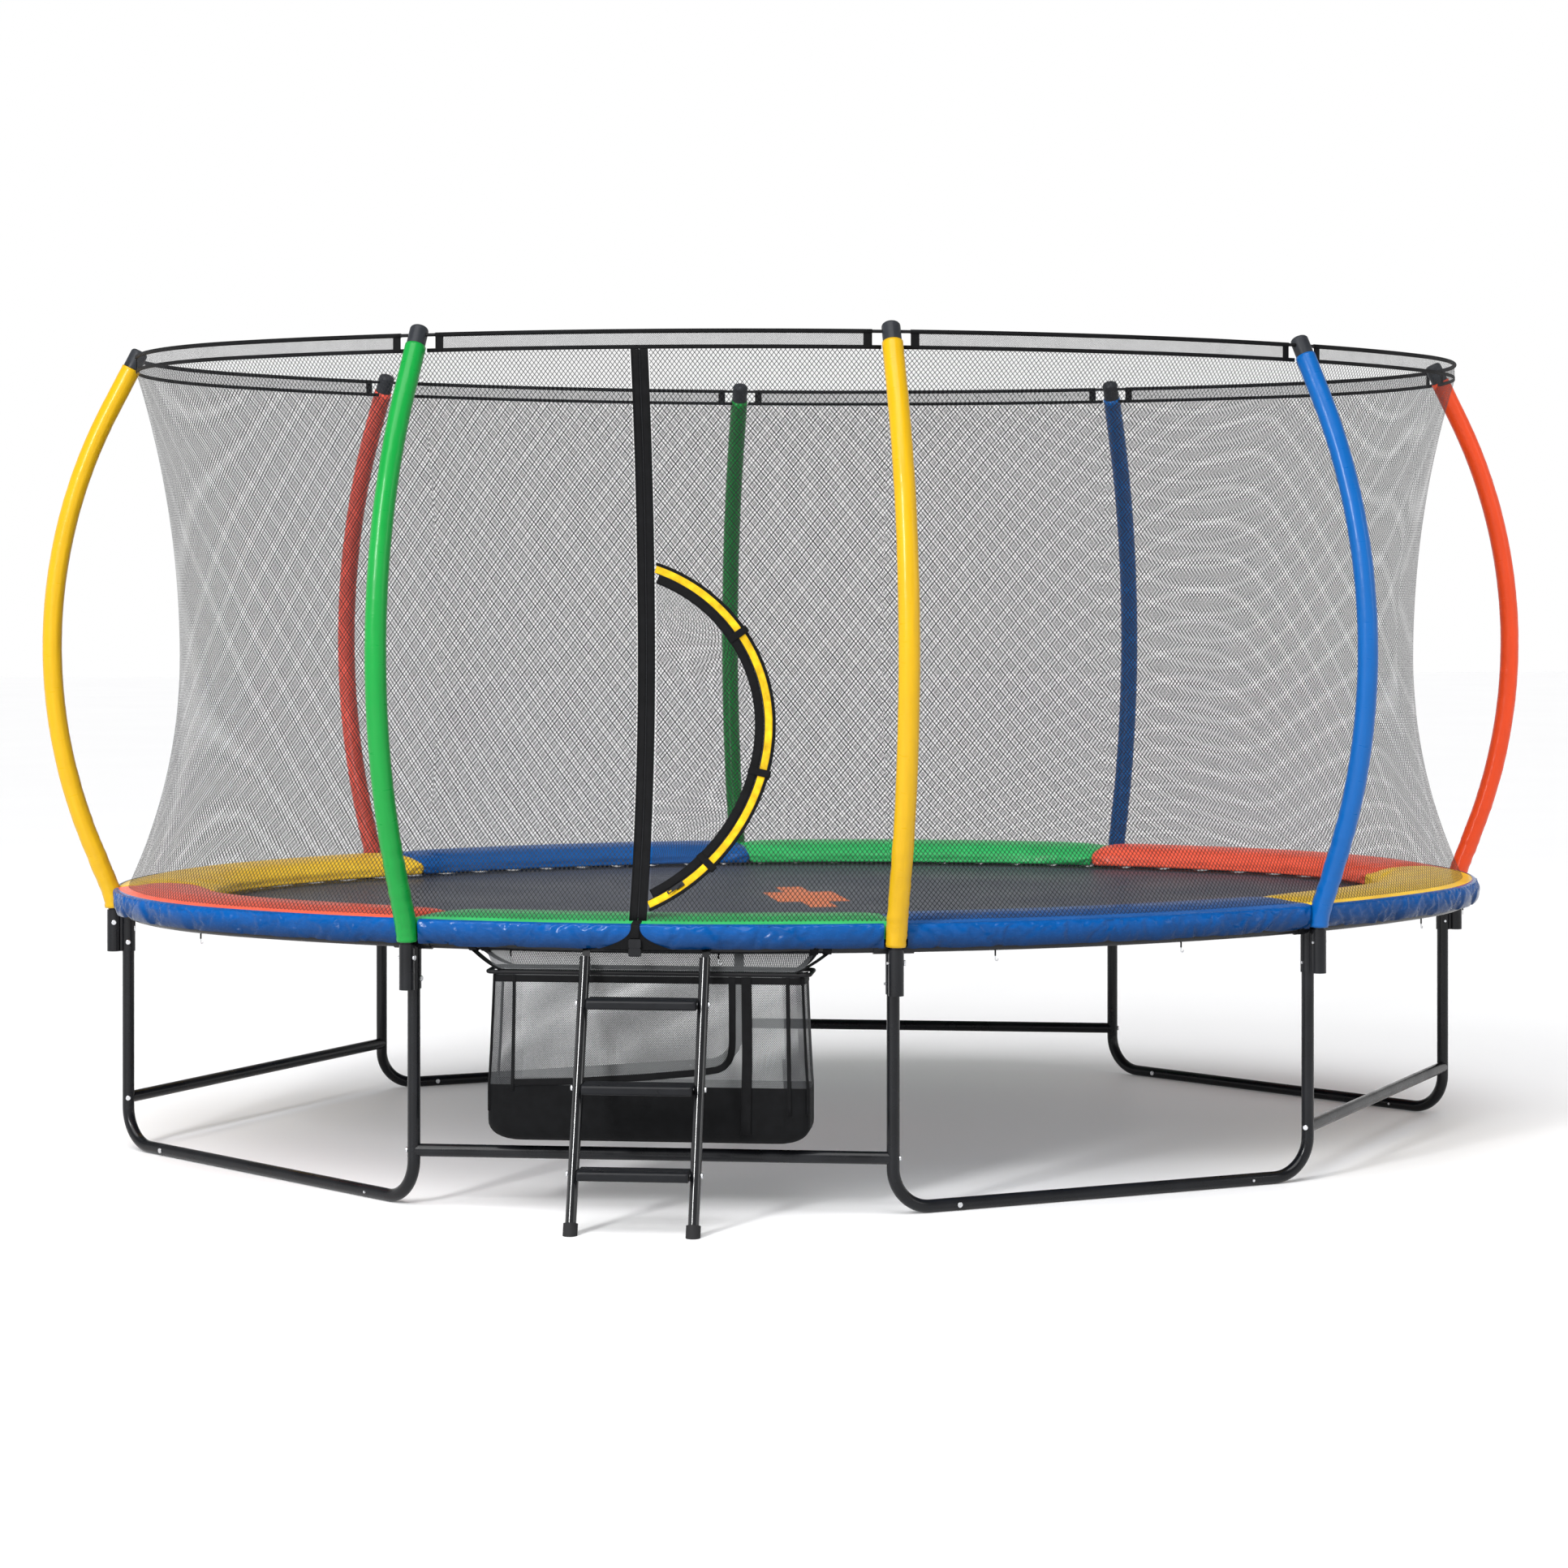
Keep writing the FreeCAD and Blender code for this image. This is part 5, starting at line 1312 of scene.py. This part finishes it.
def bag_level(z):
    """The bag's half length, and how far its walls are pulled in, at a height."""
    share = np.clip((z - BAG_BASE) / (BAG_TOP - BAG_BASE), 0, 1)
    half = BAG_HALF - 0.016 * share ** 0.8
    sag = 0.010 * math.sin(math.pi * share) * (1 - 0.4 * share)
    return half, sag


def bag_points(z, proud=0.0):
    """A loop of points on the bag's walls at a height, standing proud of them by so much."""
    half, sag = bag_level(z)
    x, y = bag_loop(half + proud, BAG_FRONT + proud, BAG_BACK - proud).T
    pull = sag * np.cos(np.clip(y / half, -1, 1) * math.pi / 2)
    x = x - np.sign(x - BAG_MIDDLE) * pull * (np.abs(x - BAG_MIDDLE) > 0.04)
    points = np.array([local_point(LADDER_ANGLE, a, b, z) for a, b in zip(x, y)])
    away = unit(points - station(LADDER_ANGLE, BAG_MIDDLE, z))
    return points - away * np.abs(wavy(points * [1, 1, 0.6], 0.30))[:, None] * 0.0022


levels = [bag_points(z) for z in np.linspace(BAG_TOP, BAG_BASE, 20)]
bag_mesh = rows_piece("bag_mesh_walls", levels, loop_u=True)
dress(bag_mesh, bag_knit, replaces=["bag_body"])
bag_mesh.data.materials.append(end_knit)
along_bag, bag_centre = facing(LADDER_ANGLE)[1], station(LADDER_ANGLE)
for polygon in bag_mesh.data.polygons:
    if abs(along_bag.dot(np.array(polygon.center) - bag_centre)) > END_CUT:
        polygon.material_index = 1

levels = [bag_points(z) for z in np.linspace(BAG_BASE, BAG_FOOT + BASE_ROUND, 6)]
for a in np.radians(np.linspace(12, 90, 8)):
    gone = 1 - math.cos(a)
    depth = BASE_NARROWER * gone
    loop = bag_loop(BAG_HALF - BASE_SHORTER * gone ** 1.1, BAG_FRONT - depth, BAG_BACK + depth)
    z = BAG_FOOT + BASE_ROUND * (1 - math.sin(a))
    levels.append([local_point(LADDER_ANGLE, p, q, z) for p, q in loop])
for share in (0.7, 0.4, 0.12):
    levels.append([local_point(LADDER_ANGLE, BAG_MIDDLE + (p - BAG_MIDDLE) * share,
                               q * (0.5 + share / 2), BAG_FOOT) for p, q in loop])
bag_base = grid_piece("bag_base_cloth", levels, loop_v=True)
shell = bmesh.new()
shell.from_mesh(bag_base.data)
open_edges = [e for e in shell.edges if e.is_boundary and e.verts[0].co.z < BAG_FOOT + 0.03]
bmesh.ops.holes_fill(shell, edges=open_edges, sides=0)
shell.to_mesh(bag_base.data)
shell.free()
dress(bag_base, bag_cloth, replaces=["bag_base"])
print("bag walls:", len(bag_mesh.data.polygons), "base:", len(bag_base.data.polygons))

# %% Hem, wall tapes and corner piping of the bag
outward = facing(LADDER_ANGLE)[0]


def wall_tape(path, width, lift):
    """A tape on the bag's front wall along a path of (along, up), lifted off the cloth."""
    length = run_of(path)[-1]
    line = []
    for y, z in at_distances(path, np.linspace(0, length, max(4, int(length / 0.02)))):
        half, sag = bag_level(z)
        pull = sag * math.cos(min(1, abs(y) / half) * math.pi / 2)
        line.append(local_point(LADDER_ANGLE, BAG_FRONT - pull + lift, y, z))
    return tape_piece("tape", line, np.tile(outward, (len(line), 1)), width, 0.0022)


hem = [bag_points(z, 0.0016) for z in (0.698, 0.692, 0.684, 0.678)]
pocket = [(-0.392, 0.384), (-0.209, 0.390), (0.0, 0.405), (0.160, 0.421), (0.206, 0.429),
          (0.228, 0.440), (0.241, 0.458), (0.2465, 0.480), (0.2480, 0.510), (0.2480, 0.699)]
tapes = [rows_piece("hem", hem, loop_u=True),
         wall_tape([(0.290, 0.699), (0.292, 0.45), (0.288, 0.24)], 0.030, 0.0028),
         wall_tape([(-0.392, 0.699), (-0.398, 0.36)], 0.010, 0.0016),
         wall_tape([(0.410, 0.699), (0.416, 0.30)], 0.012, 0.0016),
         wall_tape(pocket, 0.020, 0.0016)]
for end in (-1, 1):
    for x in (BAG_FRONT - 0.006, BAG_BACK + 0.006):
        line = [local_point(LADDER_ANGLE, x, end * (bag_level(z)[0] - 0.006), z)
                for z in np.linspace(0.700, 0.300, 26)]
        tapes.append(tube_piece("piping", line, 0.0042, 10))
dress(joined("bag_webbing", tapes), black_tape)
print("bag tapes:", len(tapes))

# %% Straps that hang the bag, and the mesh above its bars
def rail_loop(angle, width):
    """A webbing loop round the rail at a direction."""
    half = math.degrees(width / 2 / arc_at(angle)[1])
    ring = arc(0, RAIL_HEIGHT, 0.0193, 0, 360, 28) + arc(0, RAIL_HEIGHT, 0.0223, 360, 0, 28)
    rings = [[station(angle + half * share, out, up) for out, up in ring]
             for share in (-1, -0.4, 0.4, 1)]
    return grid_piece("loop", rings, loop_v=True)


straps = []
for side in (-1, 1):
    # for the front and the back strap: its place across the bag, and its reach along the rail
    for x, reach in ((-0.0065, 0.5200), (-0.1585, 0.4825)):
        angle = LADDER_ANGLE + side * math.degrees(math.asin(reach / SIDE_RADIUS))
        foot = local_point(LADDER_ANGLE, x, side * (0.4735 - 0.040), 0.7135)
        run = station(angle, 0.0, RAIL_HEIGHT - 0.0208) - foot
        normal = np.cross(unit(run), unit(np.cross(run, [0, 0, 1.0])))
        line = [foot + run * s - [0, 0, 0.004 * math.sin(math.pi * s)]
                for s in np.linspace(0, 1, 12)]
        straps.append(tape_piece("strap", line, np.tile(normal, (12, 1)), 0.024, 0.0026))
        straps.append(rail_loop(angle, 0.025))
dress(joined("bag_hanging_straps", straps), black_tape,
      replaces=["bag_straps"])

columns = []
for y in np.linspace(-0.452, 0.452, 60):
    low = local_point(LADDER_ANGLE, BAG_FRONT - 0.004, y, 0.7145)
    turn = LADDER_ANGLE + math.degrees(math.asin(1.10 * y / SIDE_RADIUS))
    run = station(turn, -0.0215, 0.779) - low
    columns.append([low + run * s + outward * 0.003 * math.sin(math.pi * s)
                    for s in np.linspace(0, 1, 7)])
bag_flap = grid_piece("bag_mesh_flap", columns)
dress(bag_flap, flap_knit)
print("bag hung on", len(straps) // 2, "straps")

# %% [markdown]
# ## Ties, and the strap at the door's foot
# The pads are pulled down by elastic ties that end in small open hooks under the rail. At the
# foot of the door a black cloth flares over the skirt, and a strap comes over the pad's edge to
# the buckle.

# %% Ties with hooks
ties, hooks = [], []
for a, b in zip(LEG_ANGLES, LEG_ANGLES[1:]):
    for share in (0.215, 0.645):
        angle = a + (b - a) * share
        along = facing(angle)[1]
        top = station(angle, 0, RAIL_HEIGHT - 0.0193)
        drop = [top - [0, 0, s] for s in np.linspace(0, 0.016, 5)]
        ties.append(tube_piece("tie", drop, 0.0025, 10))
        bend = [top + [0, 0, -0.014 - s] for s in np.linspace(0, 0.012, 4)]
        middle = bend[-1] + along * 0.0042
        bend += [middle + along * x + [0, 0, z] for x, z in arc(0, 0, 0.0045, 200, 380, 12)]
        hooks.append(tube_piece("hook", bend, 0.0015, 8))
print("ties:", len(ties), "hooks:", len(hooks))
dress(joined("pad_tie_cords", ties), black_tape, replaces=["pad_ties"])
dress(joined("pad_tie_hooks", hooks), zinc, replaces=["pad_ties"])

# %% Foot strap and flared cloth
strap_out, strap_along = facing(STRIP_ANGLE)
strap_path = [(0.0018, pad_top(0.0018) + 0.0018), (0.015, pad_top(0.015) + 0.0020),
              (0.030, pad_top(0.030) + 0.0022), (0.0405, 0.8545), (0.0468, 0.8510),
              (0.0482, 0.8440), (0.0482, 0.8300), (0.0482, 0.8125)]
strap_line = np.array([local_point(STRIP_ANGLE, x, 0, z) for x, z in strap_path])
strap_line = at_distances(strap_line, np.linspace(0, run_of(strap_line)[-1], 40))
strap_normal = np.cross(np.gradient(strap_line, axis=0), strap_along)
if strap_normal[-1].dot(strap_out) < 0:
    strap_normal = -strap_normal
foot_strap = tape_piece("door_foot_webbing", strap_line, strap_normal, 0.026, 0.0018)
dress(foot_strap, black_tape, replaces=["door_foot_strap"])

PATCH_HALF, PATCH_FLARE, PATCH_FOOT, PATCH_TOP = 0.0125, 0.096, 0.7815, 0.8512


def cloth_row(out, z, half):
    return [station(STRIP_ANGLE + math.degrees(y / SIDE_RADIUS), out, z)
            for y in np.linspace(-half, half, 24)]


rows = []
for z in np.linspace(PATCH_FOOT, PATCH_TOP, 16):
    share = (PATCH_TOP - z) / (PATCH_TOP - PATCH_FOOT)
    rows.append(cloth_row(0.0467, z, PATCH_HALF + PATCH_FLARE * share ** 2.6))
for out, z in ((0.0415, 0.8538), (0.033, pad_top(0.033) + 0.0022),
               (0.012, pad_top(0.012) + 0.0012)):
    rows.append(cloth_row(out, z, PATCH_HALF))
patch = rows_piece("door_foot_cloth", rows)
dress(patch, bag_cloth)
print("foot strap and cloth placed at direction %.2f" % STRIP_ANGLE)

# %% [markdown]
# ## Studio
# A pale floor, a white surround, one wide soft light overhead and two tall soft panels in front.
# The camera stands a little above the pads and looks level, with its picture shifted down, so
# upright lines stay parallel.

# %% Floor, lights and camera
scene = bpy.context.scene
FLOOR_HALF = 60


def floor_finish():
    f = Finish("studio_floor", (0.86, 0.86, 0.87), 0.55, Emission_Strength=0.10)
    where = f.place(metres=False)
    f.colour(f.mix(f.noise(where, 0.6, 2.0), (0.84, 0.84, 0.85), (0.88, 0.88, 0.885)))
    return f.material


floor_mesh = bpy.data.meshes.new("studio_floor")
corners = [(x * FLOOR_HALF, y * FLOOR_HALF, 0) for x, y in ((-1, -1), (1, -1), (1, 1), (-1, 1))]
floor_mesh.from_pydata(corners, [], [(0, 1, 2, 3)])
floor = link("studio_floor", floor_mesh)
floor.data.materials.append(floor_finish())

scene.view_settings.view_transform = "Standard"
world = bpy.data.worlds.new("studio")
scene.world = world
world.use_nodes = True
surround, wires = world.node_tree.nodes, world.node_tree.links
height = surround.new("ShaderNodeSeparateXYZ")
wires.new(surround.new("ShaderNodeTexCoord").outputs["Generated"], height.inputs[0])
fade = surround.new("ShaderNodeMapRange")
fade.interpolation_type = "SMOOTHSTEP"
# full light up to 0.19 of the surround's height, 0.27 of it from 0.46 up
for place, value in ((1, 0.19), (2, 0.46), (3, 1.0), (4, 0.27)):
    fade.inputs[place].default_value = value
wires.new(height.outputs[2], fade.inputs[0])
wires.new(fade.outputs[0], surround["Background"].inputs[1])
surround["Background"].inputs[0].default_value = (1.0, 1.0, 1.0, 1.0)


def light(name, kind, spot, target, power, **shape):
    """A lamp that shines from its spot towards a target."""
    lamp = bpy.data.lights.new(name, kind)
    lamp.energy = power
    for setting, value in shape.items():
        setattr(lamp, setting, value)
    holder = bpy.data.objects.new(name, lamp)
    scene.collection.objects.link(holder)
    holder.location = spot
    holder.rotation_euler = (Vector(target) - Vector(spot)).to_track_quat("-Z", "Y").to_euler()


AIM = (0, 0, 1.2)
light("overhead", "SUN", (-0.25, -0.45, 1.0), (0, 0, 0), 2.6, angle=math.radians(50))
light("key", "AREA", (-6.5, -8.0, 5.5), AIM, 760, shape="RECTANGLE", size=1.2, size_y=3.2)
light("fill", "AREA", (8.0, -5.5, 4.0), AIM, 62, shape="RECTANGLE", size=1.6, size_y=3.6)

camera = bpy.data.cameras.new("photo_camera")
camera.sensor_width = 36.0
camera.lens = 77.95
camera.shift_y = -0.1244
camera_holder = bpy.data.objects.new("photo_camera", camera)
scene.collection.objects.link(camera_holder)
camera_holder.location = (-1.866, -11.277, 1.825)
camera_holder.rotation_euler = Vector((0.157, 0.988, 0)).to_track_quat("-Z", "Y").to_euler()
scene.camera = camera_holder
print("camera at", [round(c, 3) for c in camera_holder.location])
